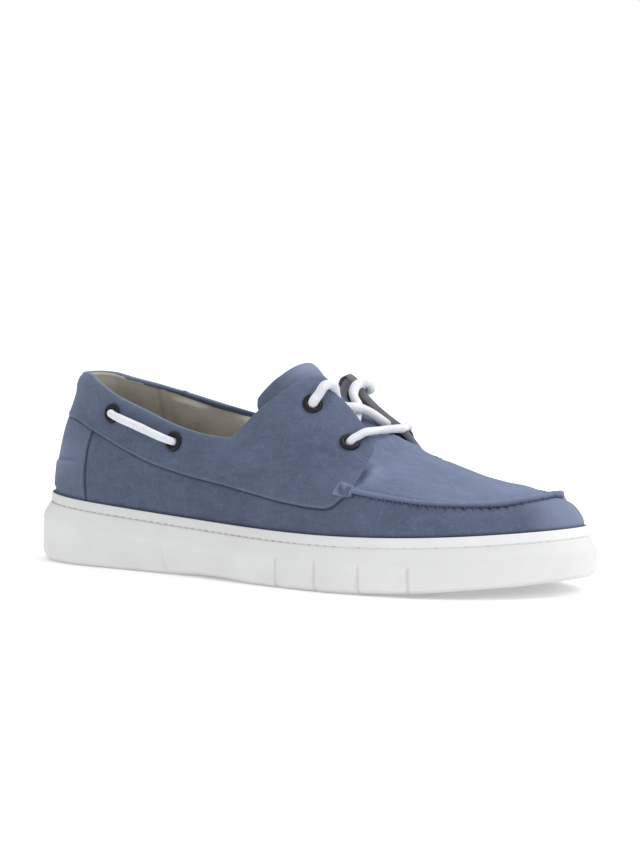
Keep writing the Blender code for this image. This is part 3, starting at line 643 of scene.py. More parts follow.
def thread(name, *colour):
    """Twisted thread."""
    look = Look(name)
    ply = look.noise(0.35)
    colour = paint(*colour)
    return look.done(tinted(colour, 0.75), ((ply, 0.3, 0.7, 1, tinted(colour, 1.15)),),
                     ((ply, 0.1, 0.6),), Roughness=0.7, Specular_IOR_Level=0.3, Sheen_Weight=0.2)


def table_top(name):
    """A pale studio table, lit a little from within."""
    look = Look(name)
    cloud = look.noise(400, 2, 0.5)
    return look.done(paint(249, 249, 249), ((cloud, 0.3, 0.7, 1, paint(252, 252, 252)),), (),
                     Roughness=0.8, Emission_Strength=0.19, Emission_Color=(1, 1, 1, 1),
                     Specular_IOR_Level=0.1)


SUEDE = suede("suede", paint(93, 103, 125), paint(134, 145, 168), paint(52, 58, 76))
# The vamp's suede is lighter: partly its own nap colour, partly painted light on its upturned top.
VAMP_SUEDE = suede("suede_vamp", paint(106, 118, 143), paint(148, 160, 186), paint(62, 70, 90))
# The grey given as the lining's beyond colour is a lighter copy of the facing, painted light where
# the flaps' inside lies in shade.
LINING = leather("lining", paint(194, 189, 177), paint(148, 141, 130), beyond=paint(190, 187, 184))
FACING = leather("facing", paint(130, 128, 127), paint(104, 102, 101), 0.7, 0.8)
FOOTBED = leather("footbed", paint(150, 142, 130), paint(112, 104, 92), 1.1)
RUBBER = rubber("rubber")
CORD = cord("lace")
BLACK = enamel("black_metal")
BORE = bare_metal("bore_metal")
THREAD = thread("thread", 88, 99, 126)
PALE_THREAD = thread("thread_pale", 118, 128, 152)
SOLE_THREAD = thread("thread_sole", 188, 190, 188)


# ---- eyelet places ----
def eyelet_spots():
    """Centre on the outer face and way out of each eyelet, by name."""
    spots = {}
    for inner, side in enumerate(("_outer", "_inner")):
        for name, *spot in EYELETS:
            point, out = on_upper(*spot[2 * inner:2 * inner + 2], inner)
            spots[name + side] = (point + out * OVERLAY, out)
    return spots


SPOTS = eyelet_spots()
BORE_CLEAR, BORE_DEPTH = 3.5, 7     # round each eyelet's axis the leather is left out


def beside_bores(points, faces, names="throat side"):
    """Which faces stay: those round each eyelet's bore go, where its flange hides the hole's rim."""
    middle = points.reshape(-1, 3)[faces].mean(axis=1)
    keep = np.ones(len(faces), bool)
    for name, (spot, out) in SPOTS.items():
        if name.split("_")[0] in names:
            off = middle - spot
            depth = off @ out
            aside = np.linalg.norm(off - depth[:, None] * out, axis=1)
            keep &= (aside >= BORE_CLEAR) | (np.abs(depth) >= BORE_DEPTH)
    return keep


# ---- the upper ----
COUNTER_SEAM = ((31, 45.8), (48.5, 43.8), (54, 43.8), (63.7, 46), (72, 48.5))    # height, along
MOC_PITCH = 4.2
UNDER_FLAP = 13     # how far the vamp runs on under the flaps
# distance past the seam and height above the last, mm, of the vamp's raised lip
LIP_PROFILE = (
    (0.35, -0.9), (-0.1, -0.3), (-0.45, 0.25), (-0.58, 0.75), (-0.5, 1.2), (-0.2, 1.6),
    (0.3, 1.88), (1, 1.95),
)
# width, depth and fade at the ends of each crease, then its route
WALL_CREASES = (
    (2.2, 0.55, 0.25, (213.5, -46.6, 44), (219, -47.5, 40.5), (224, -47.6, 36.5)),
    (3, 0.35, 0.25, (196, -47.5, 35.8), (203, -48, 34), (209, -48.6, 31.5)),
)
VAMP_CREASES = (
    (4, 0.35, 0.5, (220, -24, 57.4), (223, -14, 59.6), (224, -4, 60.2)),
    (5, 0.3, 0.5, (238, -26, 53), (241, -12, 55.5), (241, -2, 56)),
)
OVERLAY_CREASES = (
    (5.5, 0.5, 0.45, (150, 33.5, 68.5), (160, 33, 63), (170, 34.5, 57.5), (180, 37, 51)),
    (5, 0.45, 0.45, (187, 27, 70), (190.5, 32.5, 62), (195, 38, 53), (200, 43, 45)),
    (6, 0.35, 0.45, (108, 33.5, 66), (122, 34.6, 60), (134, 36, 54)),
    (2.4, 0.4, 0.4, (199, 22, 62.5), (204, 27.5, 58.5), (207.5, 34, 54)),
    (2, 0.35, 0.4, (203, 36, 53.5), (206, 41, 49.5)),
)
# Tones of the lip's rows (painted shade under it, painted highlight on its crest), of the vamp's roll
# at the throat (painted highlight on its rounded top), and of the collar's roll (painted highlight
# over its top, painted shade down its inner side).
LIP_TONES = (-1, -1, -0.7, -0.3, 0, 0.15, 0.2, 0.25)
VAMP_END_TONES = (0.3, 0.35, 0.2, 0, 0, 0, 0, 0, 0)
COLLAR_TONES = (0.1, 0.15, 0.3, 0.5, 0.45, 0.15, 0, -0.1, -0.2, -0.3, -0.3, -0.3, -0.6)
LINING_TO = np.array((30, 38, 44, 50, 57, 400))     # how far forward each inner row is lining
FACING_FROM = 142


def walk_up(place, low, high, near, parts):
    """Steps up each column of the last, first at the distances `near`, mm, then evenly to `high`.
    Also gives the distance walked."""
    grid = low[:, None] + (high - low)[:, None] * np.linspace(0, 1, 161)
    gone = lengths(last(place[:, None], grid))
    whole = gone[:, -1:]
    rest = near[-1] + (whole - near[-1]) * (np.arange(1, parts + 1) / parts)
    marks = np.concatenate([np.minimum(near, whole), rest], axis=1)
    return np.stack([np.interp(m, g, s) for m, g, s in zip(marks, gone, grid)]), marks


def close_to(middles, reach, fine, coarse, start, end):
    """Places from start to end, finely spaced round the given middles."""
    at, places = start, [start]
    while at < end:
        near = min(abs((at + 0.5 - m + WHOLE / 2) % WHOLE - WHOLE / 2) for m in middles)
        at += (fine if near < reach else coarse) * FINE
        places.append(at)
    places[-1] = end
    return np.array(places)


def joined(*parts):
    """One grid made of grids and of lists of single columns, side by side."""
    return np.concatenate([np.stack(part, 1) if isinstance(part, list) else part
                           for part in parts], axis=1)


def widened(tone, before, after):
    """A grid's tone with its outer columns repeated, for columns added before and after."""
    return np.pad(tone, ((0, 0), (before, after)), mode="edge")


def stitch_wave(place):
    """1 at each moccasin stitch and 0 midway between two."""
    return 0.5 + 0.5 * np.cos(2 * math.pi * place / MOC_PITCH)


def gather_share(place):
    """Where the seam is gathered into puckers: from a third of the way to the toe, round it."""
    far = np.minimum(place - FRONT_OUTER, FRONT_INNER - place)
    uneven = 0.66 + 0.34 * np.sin(far * 0.61) * np.sin(far * 0.23 + 1)
    return uneven * (0.2 + 0.8 * ease(14, 30, far) * (1 - 0.9 * ease(74, 90, far)))


def toe_share(place, reach):
    """1 at the toe's tip, falling to 0 some way round the ring from it."""
    return ease(reach, reach * 0.2, np.abs(place - RING.toe))


def heel_tuck(points):
    """The upper is drawn in between the collar and the sole at the heel's back, mm."""
    kept = ease(-0.2, 2.2, points[..., 2] - rim_height(points[..., 0]))
    return 1.1 * kept * ease(85, 73, points[..., 2]) * ease(34, 14, points[..., 0])


def settled(points, share=1):
    """The inner side's top edge and its flap's front corner lie lower than the last, and the
    flaps' tops are a little flattened."""
    along, across, height = points[..., 0], points[..., 1], points[..., 2]
    rim = 1.1 * share * ease(0, 12, across) * ease(18, 36, along) * ease(130, 112, along)
    corner = 3.8 * ease(196.5, 202.5, along) * ease(228, 210, along)
    corner = corner * ease(53, 64, height) * ease(13.5, 20.5, across)
    peak = 0.4 * np.maximum(0, height - 90.8)
    return points - (rim + corner + peak)[..., None] * (0, 0, 1)


def flap_soft(step, beside):
    """The overlay's height above the last, which thins toward the flap's upper front edge."""
    return OVERLAY * (1 - 0.6 * ease(0.6, 0.72, step) * ease(9, 0, beside))


def front_share(place, reach=3):
    """1 on the vamp, 0 on the quarters, and smooth over a few mm at the flaps' front edges."""
    return ease(FRONT_OUTER - reach, FRONT_OUTER, place) * ease(
        FRONT_INNER + reach, FRONT_INNER, place)


def build_wall():
    """The toe's wall and the quarters under the overlay, down into the sole's cup."""
    places = close_to(both_sides([COUNTER_FRONT]), 5, 0.35, 0.95, 0, WHOLE)[:-1]
    vamp = front_share(places)[:, None]
    hem = overlay_step(places)
    rows = spaced(((0, 0.021), (0.9, 0.01), (1, 0.01)))
    steps = (vamp * 0.497 + (1 - vamp) * (hem[:, None] + 0.05)) * rows
    points, out = surface(places[:, None], steps)
    along, height, rim = points[..., 0], points[..., 2], lengths(points)
    below = rim[:, -1:] - rim
    pinch = (stitch_wave(places) * gather_share(places))[:, None]
    seam = profile(COUNTER_SEAM, height) - along
    counter = ease(-0.1, 0.45, seam)

    lift = COUNTER * counter - 0.5 * bell(seam, -0.3, 0.5)
    lift += 0.85 * (ease(49.2, 47.8, height) * ease(43, 27, along))
    lift += 0.22 * ripple(points, 34, 3) + 0.07 * ripple(points, 11, 4)
    lift -= vamp * pinch * 0.45 * bell(below, 0, 1.4)
    lift += vamp * (1 - pinch) * 0.2 * bell(below, 1.6, 1.5)
    lift += vamp * 0.35 * bell(below, 5.5, 3)
    lift *= ease(0, 0.1, rows)
    lift += creases(points, WALL_CREASES)
    edge = np.array([np.interp(at, s, g) for at, s, g in zip(hem, steps, rim)])[:, None]
    under = bell(rim, edge, 0.6) * (1 - vamp)
    lift -= 0.25 * under + heel_tuck(points)

    # The tone paints shade along the counter's seam, above the heel step, under the overlay's edge,
    # under the moccasin lip and its puckers and where the wall meets the sole, and paints highlight
    # beside the counter's and heel step's edges and at the toe's tip.
    tone = -0.95 * bell(seam, -0.3, 0.55) + 0.12 * bell(seam, 0.9, 0.6)
    tone += counter * (0.12 + 0.35 * bell(height, 50, 9) * bell(along, 26, 16))
    tone += (0.35 * bell(height, 48.4, 0.8) - 0.3 * bell(height, 50, 1)) * ease(43, 30, along)
    tone -= 0.7 * under + vamp * 0.7 * bell(below, 0, 0.8)
    tone -= vamp * pinch * 0.85 * bell(below, 0.8, 1.2)
    tone -= (0.1 + 0.4 * ease(20, 70, along)) * bell(rim, 0, 0.9)
    tone += vamp * 0.02 - 0.12 * (1 - vamp) * ease(60, 110, along)
    tone += 0.55 * toe_share(places, 30)[:, None]

    # the foot runs down inside the sole, and the wall's top edge turns in under the lip
    skin = points + out * lift[..., None]
    foot = [skin[:, 0] - (0, 0, drop) for drop in (6, 3)]
    points = joined(foot, skin, [skin[:, -1] - out[:, -1] * deep for deep in (0.6, 1.4)])
    tone = widened(tone, 2, 2)
    # the turned-in top edge is painted darker as shade
    tone[:, -2:] = -0.9
    add_grid("upper_wall", points, [SUEDE], "upper", tone, close_rows=True)


def vamp_lift(past):
    """How far the vamp stands above the last at a distance past the moccasin seam."""
    return 1.5 * np.exp(-past / 34) + 0.6 * bell(past, 0.9, 0.8) - 0.2 * bell(past, 2.8, 1.3)


def build_vamp():
    """The vamp's plug: a gathered lip along the moccasin seam, then the vamp up to the throat."""
    places = np.arange(FRONT_OUTER - UNDER_FLAP, FRONT_INNER + UNDER_FLAP, 0.7 * FINE)
    high = 1 - 0.045 * (1 - front_share(places, 8))
    near = np.concatenate([np.arange(1, 5, 0.35 * FINE), np.arange(5, 9, 0.6 * FINE)])
    steps, past = walk_up(places, np.full(len(places), 0.5), high, near, int(50 / FINE))
    points, out = surface(places[:, None], steps)
    along = points[..., 0]
    rise = unit(last(places, 0.52) - last(places, 0.5))
    far = np.minimum(places - FRONT_OUTER, FRONT_INNER - places)[:, None]
    wide = ease(1.5, 7, past)
    share = ease(-3, 1, far)
    vamp = ease(0, 1, (far + 3 - 3 * wide) / (4 + 3 * wide))
    tip = toe_share(places, 70)[:, None]
    beyond = bell(places, RING.toe + 15, 11)[:, None]
    pinch = 0.5 + ((stitch_wave(places) - 0.5) * gather_share(places))[:, None]

    lift = vamp_lift(past) + tip * (0.7 * bell(past, 0.8, 1.2) - 1.3 * bell(past, 6, 3.6))
    lift += beyond * (0.6 * bell(past, 0.8, 1) - 1.5 * bell(past, 4.2, 3.2))
    lift += 0.7 * ease(9, 20, past) * bell(along, 272, 15)
    lift += 0.28 * ripple(points, 42, 7) * ease(3, 14, past)
    lift += 0.09 * ripple(points, 12, 8) * ease(3, 10, past)
    lift += (0.5 - pinch) * 0.22 * bell(past, 1.2, 2.2)
    lift = lift * vamp + (1 - vamp) * np.minimum(lift, 0.1)
    # The tone paints highlight on the lip's crest, higher up the vamp and toward its front, and shade
    # in the valley behind the lip.
    tone = 0.22 * bell(past, 0.9, 0.7) * share - 0.1 * bell(past, 2.8, 1.2) * vamp
    tone += 0.1 * ease(5, 30, past) + 0.3 * ease(230, 285, along)
    folded = np.linspace(0.53, 0.84, 6)
    for front, turn, high_ridge in ((FRONT_OUTER, 1, 1), (FRONT_INNER, -1, 0.35)):
        valley = crease(points, last(front + turn * 1.2, folded), 2.6, 1, 0.4)
        ridge = crease(points, last(front + turn * 7, folded), 4.6, -1, 0.45)
        lift += (1.3 * valley + high_ridge * ridge) * ease(-1, 1.5, far)
        # painted shade in the fold's valley beside each flap's front edge, painted highlight on its
        # ridge
        tone += 0.95 * valley + 0.22 * ridge
    lift += creases(points, VAMP_CREASES)
    # painted shade in the hollow behind the lip round the toe
    tone -= 0.5 * tip * bell(past, 2.4, 1) + beyond * bell(past, 2.2, 1.5)
    skin = points + out * lift[..., None]

    lip = []
    for ahead, lifted in LIP_PROFILE:
        puff = ((0.5 - pinch) * 0.22 + 0.7 * tip + 0.6 * beyond) * ease(0.4, 2, lifted)
        raised = (lifted + puff) * share + (1 - share) * min(lifted, 0)
        lip.append(points[:, 0] - rise * (past[:, :1] - ahead) + out[:, 0] * raised)
    # the lip's own rows: painted shade under its overhang and painted highlight on its crest, with
    # more shade behind it at the toe
    lip_tone = np.tile(LIP_TONES, (len(places), 1))
    lip_tone[:, -2:] -= 0.5 * beyond

    # past the last's edge the vamp runs on over the tongue to under the lace, then turns over
    ahead = np.minimum(ease(-3, 0, places - FRONT_OUTER), ease(0, 7, FRONT_INNER - places))
    ahead = ahead[:, None]
    top, top_out = skin[:, -1], out[:, -1]
    across = 0.95 * top[:, 1]
    beside = np.abs(across)
    reach = np.stack([
        203.6 + np.where(across > 0, 0.06, -0.15) * beside,
        across,
        67.7 - np.where(across > 0, 0.178, 0.02) * beside ** 1.3 - 1.2 * ease(13, 17, -across),
    ], axis=-1) - top
    run = [top + (reach * onward + top_out * 0.5 * math.sin(math.pi * onward)) * ahead
           for onward in (0.2, 0.4, 0.6, 0.8, 1)]
    up = unit(last(places, high) - last(places, high - 0.03)) * (1 - ahead)
    up = unit(up + unit(reach) * ahead)
    roll = [run[-1] + up * math.sin(angle) * 0.9 - top_out * (1 - math.cos(angle)) * 0.85
            for angle in np.linspace(0.3, math.pi, 7)]
    roll += [roll[-1] - up * deep for deep in (2, 5)]
    points = settled(joined(lip, skin[:, 1:], run + roll))
    end_tone = np.tile(VAMP_END_TONES, (len(places), 1))
    tone = joined(lip_tone, widened(tone[:, 1:], 0, len(run)), end_tone)
    add_grid("upper_vamp", points, [VAMP_SUEDE], "upper", tone)


def raw_edge(past, height=OVERLAY, width=0.55):
    """A cut edge's rounded rise."""
    t = np.clip(past / width, 0, 1)
    return height * np.sqrt(np.maximum(0, 1 - (1 - t) ** 2))


def flap_pull(place, step):
    """How far the flap's rounded upper corner draws its front edge back."""
    front = np.where(place > 0, FRONT_OUTER - place, place - START)
    q = np.clip((step - 0.925) / 0.075, 0, 1)
    pull = 4.6 * (1 - np.sqrt(1 - 0.995 * q * q)) * np.clip(1 - front / 13, 0, 1) ** 1.3
    return np.where(place > 0, -pull, pull)


def build_overlay():
    """The quarter overlay: heel collar, quarters and flaps, with a cut lower edge and a rolled
    top edge that turns in over the lining."""
    places = close_to([FRONT_OUTER, START % WHOLE], 3, 0.25, 0.95, START, FRONT_OUTER)
    where = np.mod(places, WHOLE)
    near = (0, 0.1, 0.22, 0.38, 0.6, 0.9, 1.4)
    steps, past = walk_up(where, overlay_step(where), 1, near, int(44 / FINE))
    where = np.mod(places[:, None] + flap_pull(places[:, None], steps), WHOLE)
    points, out = surface(where, steps)
    along, height = points[..., 0], points[..., 2]
    beside = np.abs(places - np.where(places > 0, FRONT_OUTER, START))[:, None]
    upper = ease(0.6, 0.72, steps)
    rim = past[:, -1:] - past
    heel = ease(62, 28, along)

    side_edge = raw_edge(beside, 1, 0.55 + 1.2 * upper) * flap_soft(steps, beside)
    lift = np.minimum(raw_edge(past), side_edge)
    lift += ease(1, 8, np.minimum(past, beside)) * (
        0.26 * ripple(points, 36, 11) + 0.09 * ripple(points, 12, 12))
    for spot, _ in SPOTS.values():
        away = np.linalg.norm(points - spot, axis=-1)
        lift += 0.22 * bell(away, 8.5, 2.6) - 0.35 * bell(away, 3.5, 3)
    for side in (-1, 1):
        lift += creases(points, OVERLAY_CREASES, side)
    lift += heel * (1.2 * bell(rim, 4.6, 4) - 0.4 * bell(rim, 0, 1.2)) - heel_tuck(points)
    skin = points + out * lift[..., None]
    # The tone paints shade on the cut edges' undersides and at the flaps' front edges, a highlight
    # just above the lower edge, and light higher up and along the top rim.
    cut = np.minimum(raw_edge(past, 1), raw_edge(beside, 0.4, 0.6) + 0.6 + 0.4 * upper)
    tone = 0.2 * bell(past, 0.8, 0.5) - (1 - np.minimum(1, cut))
    tone += 0.12 * ease(60, 90, height) + 0.08 * bell(rim, 0, 1.1)

    # the top edge rolls over, from the outer face to the lining
    edge = where[:, -1]
    top, top_out = surface(edge, 1)
    up = unit(np.cross(top_out, last(edge + 0.5, 1) - last(edge - 0.5, 1)))
    thick = WALL + 0.12 + 1.3 * heel[:, -1:]
    middle, half = (lift[:, -1:] - thick) / 2, (lift[:, -1:] + thick) / 2
    high = 1.05 + 0.9 * heel[:, -1:] + 0.5 * bell(top[:, :1], 57.5, 1) * (top[:, 1:2] > 0)
    high -= 0.6 * ease(136, 148, top[:, :1])
    turned = 0.15 + 1.6 * ease(35, 85, top[:, :1])
    roll = [top + top_out * (middle + half * math.cos(angle)) + up * math.sin(angle) * high
            for angle in np.linspace(0.35, math.pi, 9)]
    roll += [top - top_out * thick - up * turned * deep for deep in (0.33, 0.67, 1)]
    roll.append(top - top_out * (thick - 0.5) - up * (turned + 0.2))
    points = joined([skin[:, 0] - out[:, 0] * 0.5], skin, roll)
    points = settled(points, widened(ease(0.7, 1, steps), 1, len(roll)))
    # the tucked-under column is painted darker as shade
    tone = joined(np.full((len(places), 1), -1), tone, np.tile(COLLAR_TONES, (len(places), 1)))
    faces = grid_faces(*points.shape[:2])
    kinds = np.zeros((points.shape[0] - 1, points.shape[1] - 1), int)
    kinds[:, -6:] = np.where(top[:-1, :1] < LINING_TO, 2, 0)
    kinds[:, -11:] = np.where(top[:-1, :1] > FACING_FROM, 1, kinds[:, -11:])
    keep = beside_bores(points, faces)
    add_mesh("upper_overlay", points, faces[keep], [SUEDE, FACING, LINING], ["upper"],
             tone, kinds.ravel()[keep])


def build_lining():
    """Beige lining inside the quarters and grey facing behind the flaps."""
    where = np.mod(np.arange(START, WHOLE + START, 1.3 * FINE), WHOLE)
    steps = np.linspace(0, 1, int(58 / FINE)) * (1 - 0.035 * front_share(where, 8))[:, None]
    points, out = surface(where[:, None], steps)
    gone = lengths(points)
    down = gone[:, -1:] - gone
    along = points[..., 0]
    high = ease(0.4, 0.5, steps)
    seam = bell(along, 44.5, 0.9) * high
    lift = -WALL + 0.15 * ripple(points, 24, 21) * ease(1, 9, down)
    lift -= 1.3 * ease(62, 28, along) * ease(18, 2, down)
    lift += 0.3 * seam - 0.2 * bell(along, 47, 1.6) * high
    for name, (spot, _) in SPOTS.items():
        if "side" in name:
            away = np.linalg.norm(points - spot, axis=-1)
            lift -= 1.5 * ease(15, 5.5, away) * ease(1, 4.5, down)
    skin = points + out * lift[..., None]
    # darker at the seam, and painted shade deeper down inside the shoe
    tone = -0.4 * seam - 0.7 * ease(0.98, 0.5, steps)
    beyond = skin[..., 0] - 139 - 0.55 * (skin[..., 2] - 64)
    tone = np.where(beyond > -1, ease(-1, 1, beyond), tone)
    skin = settled(skin, ease(0.7, 1, steps))
    skin = joined([skin[:, 0] - (0, 0, drop) for drop in (7, 3.5)], skin)
    faces = grid_faces(*skin.shape[:2], close_rows=True, flip=True)
    faces = faces[beside_bores(skin, faces, "throat")]
    add_mesh("upper_lining", skin, faces, [LINING], ["upper"], widened(tone, 2, 0))


def build_tacks():
    """The little stitched tab that ties each flap's foot to the moccasin seam."""
    wide, tall, corner = 9.8, 7.6, 2.2
    u = np.linspace(-0.12, 1.12, 34)[:, None]
    v = np.linspace(-0.12, 1.12, 30)[None, :]
    from_side, from_end = np.minimum(u, 1 - u) * wide, np.minimum(v, 1 - v) * tall
    aside, below = np.maximum(0, corner - from_side), np.maximum(0, corner - from_end)
    inside = np.where((aside > 0) & (below > 0), corner - np.hypot(aside, below),
                      np.minimum(from_side, from_end))
    for side, front, turn in (("outer", FRONT_OUTER, -1), ("inner", FRONT_INNER, 1)):
        place = front + turn * ((10.6 - 1.2 * v) * (1 - u) - 0.6 * u)
        points, out = surface(place, 0.425 + 0.15 * v + 0.012 * u - 0.02 * u * v)
        near = inside + 0.35 * ripple(points, 5, 32)
        crumple = ripple(points, 6.5, 31) + 0.7 * ripple(points, 3.4, 33)
        body = 1.1 + 0.6 * raw_edge(near, 1, 1.6) + 0.6 * crumple * ease(0.2, 2.2, near)
        lift = np.where(near > 0, body, 1.2 + 2.2 * near)
        # The tone paints highlight on the crumples' crowns and along the raised edge, and shade in
        # their hollows and round the tab's foot.
        tone = 0.5 * np.clip(crumple, -0.8, 0.9) * ease(0.2, 1.5, near)
        tone += 0.45 * bell(near, 1, 0.5) - 0.9 * ease(0.4, -0.4, near)
        skin = points + out * lift[..., None]
        add_grid("tack_" + side, skin, [SUEDE], "upper", tone, flip=turn > 0)


# ---- the sole ----
# The sole's side, from inside its cup over the rim and down: out from the upper's foot, below rim
SIDE = (
    (0.6, 7.5), (0.6, 3), (0.6, 1), (0.64, 0.5), (0.78, 0.18), (1.02, 0.03), (1.3, 0.05),
    (1.52, 0.28), (1.64, 0.8), (1.72, 1.8), (1.80, 2.8), (1.86, 3.5), (1.83, 3.9), (1.5, 4.12),
    (1.1, 4.35), (1.1, 4.75), (1.5, 4.95), (2.05, 5.1), (2.5, 5.4), (2.85, 6), (3.4, 6.95),
    (4, 7.95), (4.6, 8.95), (4.95, 9.6), (5.2, 10.15), (5.42, 10.8), (5.63, 11.4), (5.8, 12),
)
# out from the upper's foot, above the underside
FOOT = (
    (6, 6.5), (5.97, 5.3), (5.86, 4.1), (5.62, 3), (5.25, 2.05), (4.78, 1.3), (4.2, 0.75),
    (3.45, 0.28), (2.6, 0),
)
PANEL_AT = (73, 79)     # finer meshing at the heel panel's slanted back end


def sole_spot(place, out, height=0):
    """A point so far out from the upper's foot, at a height."""
    place, out, height = np.broadcast_arrays(place, out, height)
    spot = RING.point(place) - RING.inward(place) * out[..., None]
    return np.concatenate([spot, height[..., None]], axis=-1)


def strut_shift(place, height, top):
    """How far the slanted groove at the waist leans the places round it."""
    inner = RING.reach(place)[1]
    off = place - np.where(inner, RING.place(STRUT_AT, True), RING.place(STRUT_AT, False))
    down = np.clip((top - height) / top, 0, 1)
    return np.where(inner, -1, 1) * STRUT_SLANT * (down - 0.5) * bell(off, 0, STRUT_REACH)


def build_outsole():
    """The moulded cupsole's side: foxing band, stitch groove, shoulder, wall and flex grooves."""
    marks = both_sides((*GROOVES, STRUT_AT, *PANEL_AT))
    places = close_to(marks, 2.4, 0.3, 1.3, 0, WHOLE)[:-1]
    where = places[:, None]
    foot = RING.point(places)[:, :1]
    rim = rim_height(foot)
    side_out, below = np.array(SIDE).T
    foot_out, above = np.array(FOOT).T
    top = rim - below[-1]
    under = under_height(sole_spot(where, side_out[-1])[..., 0])
    down = np.arange(1, 9)
    outs = np.concatenate([side_out, side_out[-1] + 0.2 * down / 9, foot_out])
    heights = joined(rim - below, top + (under + above[0] - top) * down / 9,
                     under_height(sole_spot(where, foot_out)[..., 0]) + above)
    # the groove under the band is all but filled round the toe
    fading = 0.45 + 0.4 * ease(150, 235, foot)
    outs = np.tile(outs, (len(places), 1))
    filled = np.interp(np.arange(12, 17), (11, 17), (1.86, 2.05))
    outs[:, 12:17] += (filled - outs[:, 12:17]) * fading
    groove = 0
    for along in (*GROOVES, STRUT_AT):
        off = np.min([np.abs(where - place) for place in both_sides([along])], axis=0)
        deep = 0.4 if along == STRUT_AT else 1
        dip = 0.5 - 0.5 * np.cos(math.pi * np.clip(1 - off / GROOVE_REACH, 0, 1))
        groove = np.maximum(groove, deep * dip)
    groove = groove * ease(14.6, 12.8, heights)
    moved = where + strut_shift(where, heights, rim - 9.6)
    # a raised panel on each side of the heel's front, with slanted ends
    reach = np.where(RING.reach(where)[1], WHOLE - moved, moved)
    back = RING.place(73.5, False) + (heights - 9) * 0.75
    ahead = RING.place(101, False) - (heights - 9) * 0.85
    lower = ease(0, 0.9, reach - back) * ease(0, 0.9, ahead - reach)
    lower = lower * ease(15.8, 14.9, heights) * ease(3, 4.2, heights)
    swell = 0.1 * ripple(np.stack(np.broadcast_arrays(where, heights, outs), axis=-1), 30, 41)
    body = np.arange(outs.shape[1]) >= 20
    points = sole_spot(moved, outs - 1.15 * groove + np.where(body, swell - 0.35 * lower, 0),
                       heights)
    band = np.zeros(outs.shape[1])
    band[:13] = 1
    # the stitch groove's rows are painted darker as shade
    band[13:18] = (0.3, -0.4, -0.5, -0.2, 0)
    tone = band * (1 - 0.8 * fading) - 0.1 * ease(0, 1, fading)
    # darker towards the bottom edge; painted shade towards the toe and in the flex grooves
    tone[:, 20:] -= 0.12 * ease(2.2, 0.6, heights[:, 20:] - under)
    tone[:, 13:] -= 0.12 * ease(225, 290, foot)
    tone[:, 18:] -= 0.08 * groove[:, 18:]
    add_grid("outsole_side", points, [RUBBER], "outsole", tone, True, True)


def sole_sheet(rows, columns, out):
    """A level grid that fills the ring, moved out by some mm: its points, how far across each
    column lies, and each point's distance from the nearer side."""
    along = HEEL_BACK + (TOE_TIP - HEEL_BACK) * (1 - np.cos(np.linspace(0, math.pi, rows))) / 2
    sides = []
    for inner in (False, True):
        places = np.array([RING.place(at, inner) for at in along])
        places[0], places[-1] = WHOLE * inner, RING.toe
        sides.append(sole_spot(places, out)[:, None])
    start, end = sides
    share = np.linspace(0, 1, columns)
    points = start * (1 - share[:, None]) + end * share[:, None]
    return points, share, np.minimum(share, 1 - share) * np.linalg.norm(end - start, axis=-1)


def build_tread():
    """The sole's underside: flex grooves across and fine wavy sipes between them."""
    points, share, edge = sole_sheet(int(330 / FINE), int(64 / FINE), 2.7)
    x, y = points[..., 0], points[..., 1]
    off = np.min([np.abs(x - middle) for middle in GROOVES], axis=0)
    rib = np.abs(((x + 1.6 * np.sin(y / 3.4)) / 6.6) % 1 - 0.5)
    inside = ease(0, 0.06, share) * ease(1, 0.94, share)
    depth = np.max([1.8 * np.clip(1 - off / GROOVE_REACH, 0, 1), 0.7 * ease(0.11, 0.04, rib) * inside,
                    1.2 * bell(edge, 6.5, 0.9)], axis=0)
    points[..., 2] = under_height(x) + depth
    tone = -0.55 * np.clip(depth / 1.2, 0, 1)
    add_grid("outsole_tread", points, [RUBBER], "outsole", tone, flip=True)


def build_insole():
    """The leather footbed, dished at the heel, with a stitched edge."""
    points, _, side = sole_sheet(int(170 / FINE), int(56 / FINE), 0.2 - WALL)
    x = points[..., 0]
    side = np.minimum(side, np.minimum(x - x.min(), x.max() - x))
    dish = 0.8 * ease(9, 0, side) - ease(0, 16, side) * ease(110, 60, x)
    dish -= 0.35 * bell(side, 5, 0.6)
    points[..., 2] = rim_height(x) - CUP_DEPTH + INSOLE_THICK + 0.2 + dish
    points[..., 2] += 0.15 * ripple(points, 26, 51)
    tone = -0.8 * bell(side, 5, 0.7) - 0.25 * ease(8, 0, side)
    add_grid("insole_bed", points, [FOOTBED], "insole", tone)


# ---- the tongue ----
# along, height, half width, drop of its edges, sweep of its edges, thickness
TONGUE = (
    (222, 53.5, 16, 3, 0, 1.6), (219, 54.7, 17.5, 3.4, 0, 2.6), (212.5, 57.5, 18.5, 4.4, 0, 3),
    (200, 65.2, 20.5, 6, 0.5, 3.6), (188, 72.8, 22, 8.5, 2, 4.2), (174.5, 82, 24, 11, 5, 5),
    (162.5, 91, 25.5, 14, 7, 6), (156.5, 96.6, 25.5, 15, 8, 6.5),
    (153.2, 99.2, 23.6, 14, 8.2, 5.5), (151.2, 98.6, 19, 11, 6.5, 3),
)


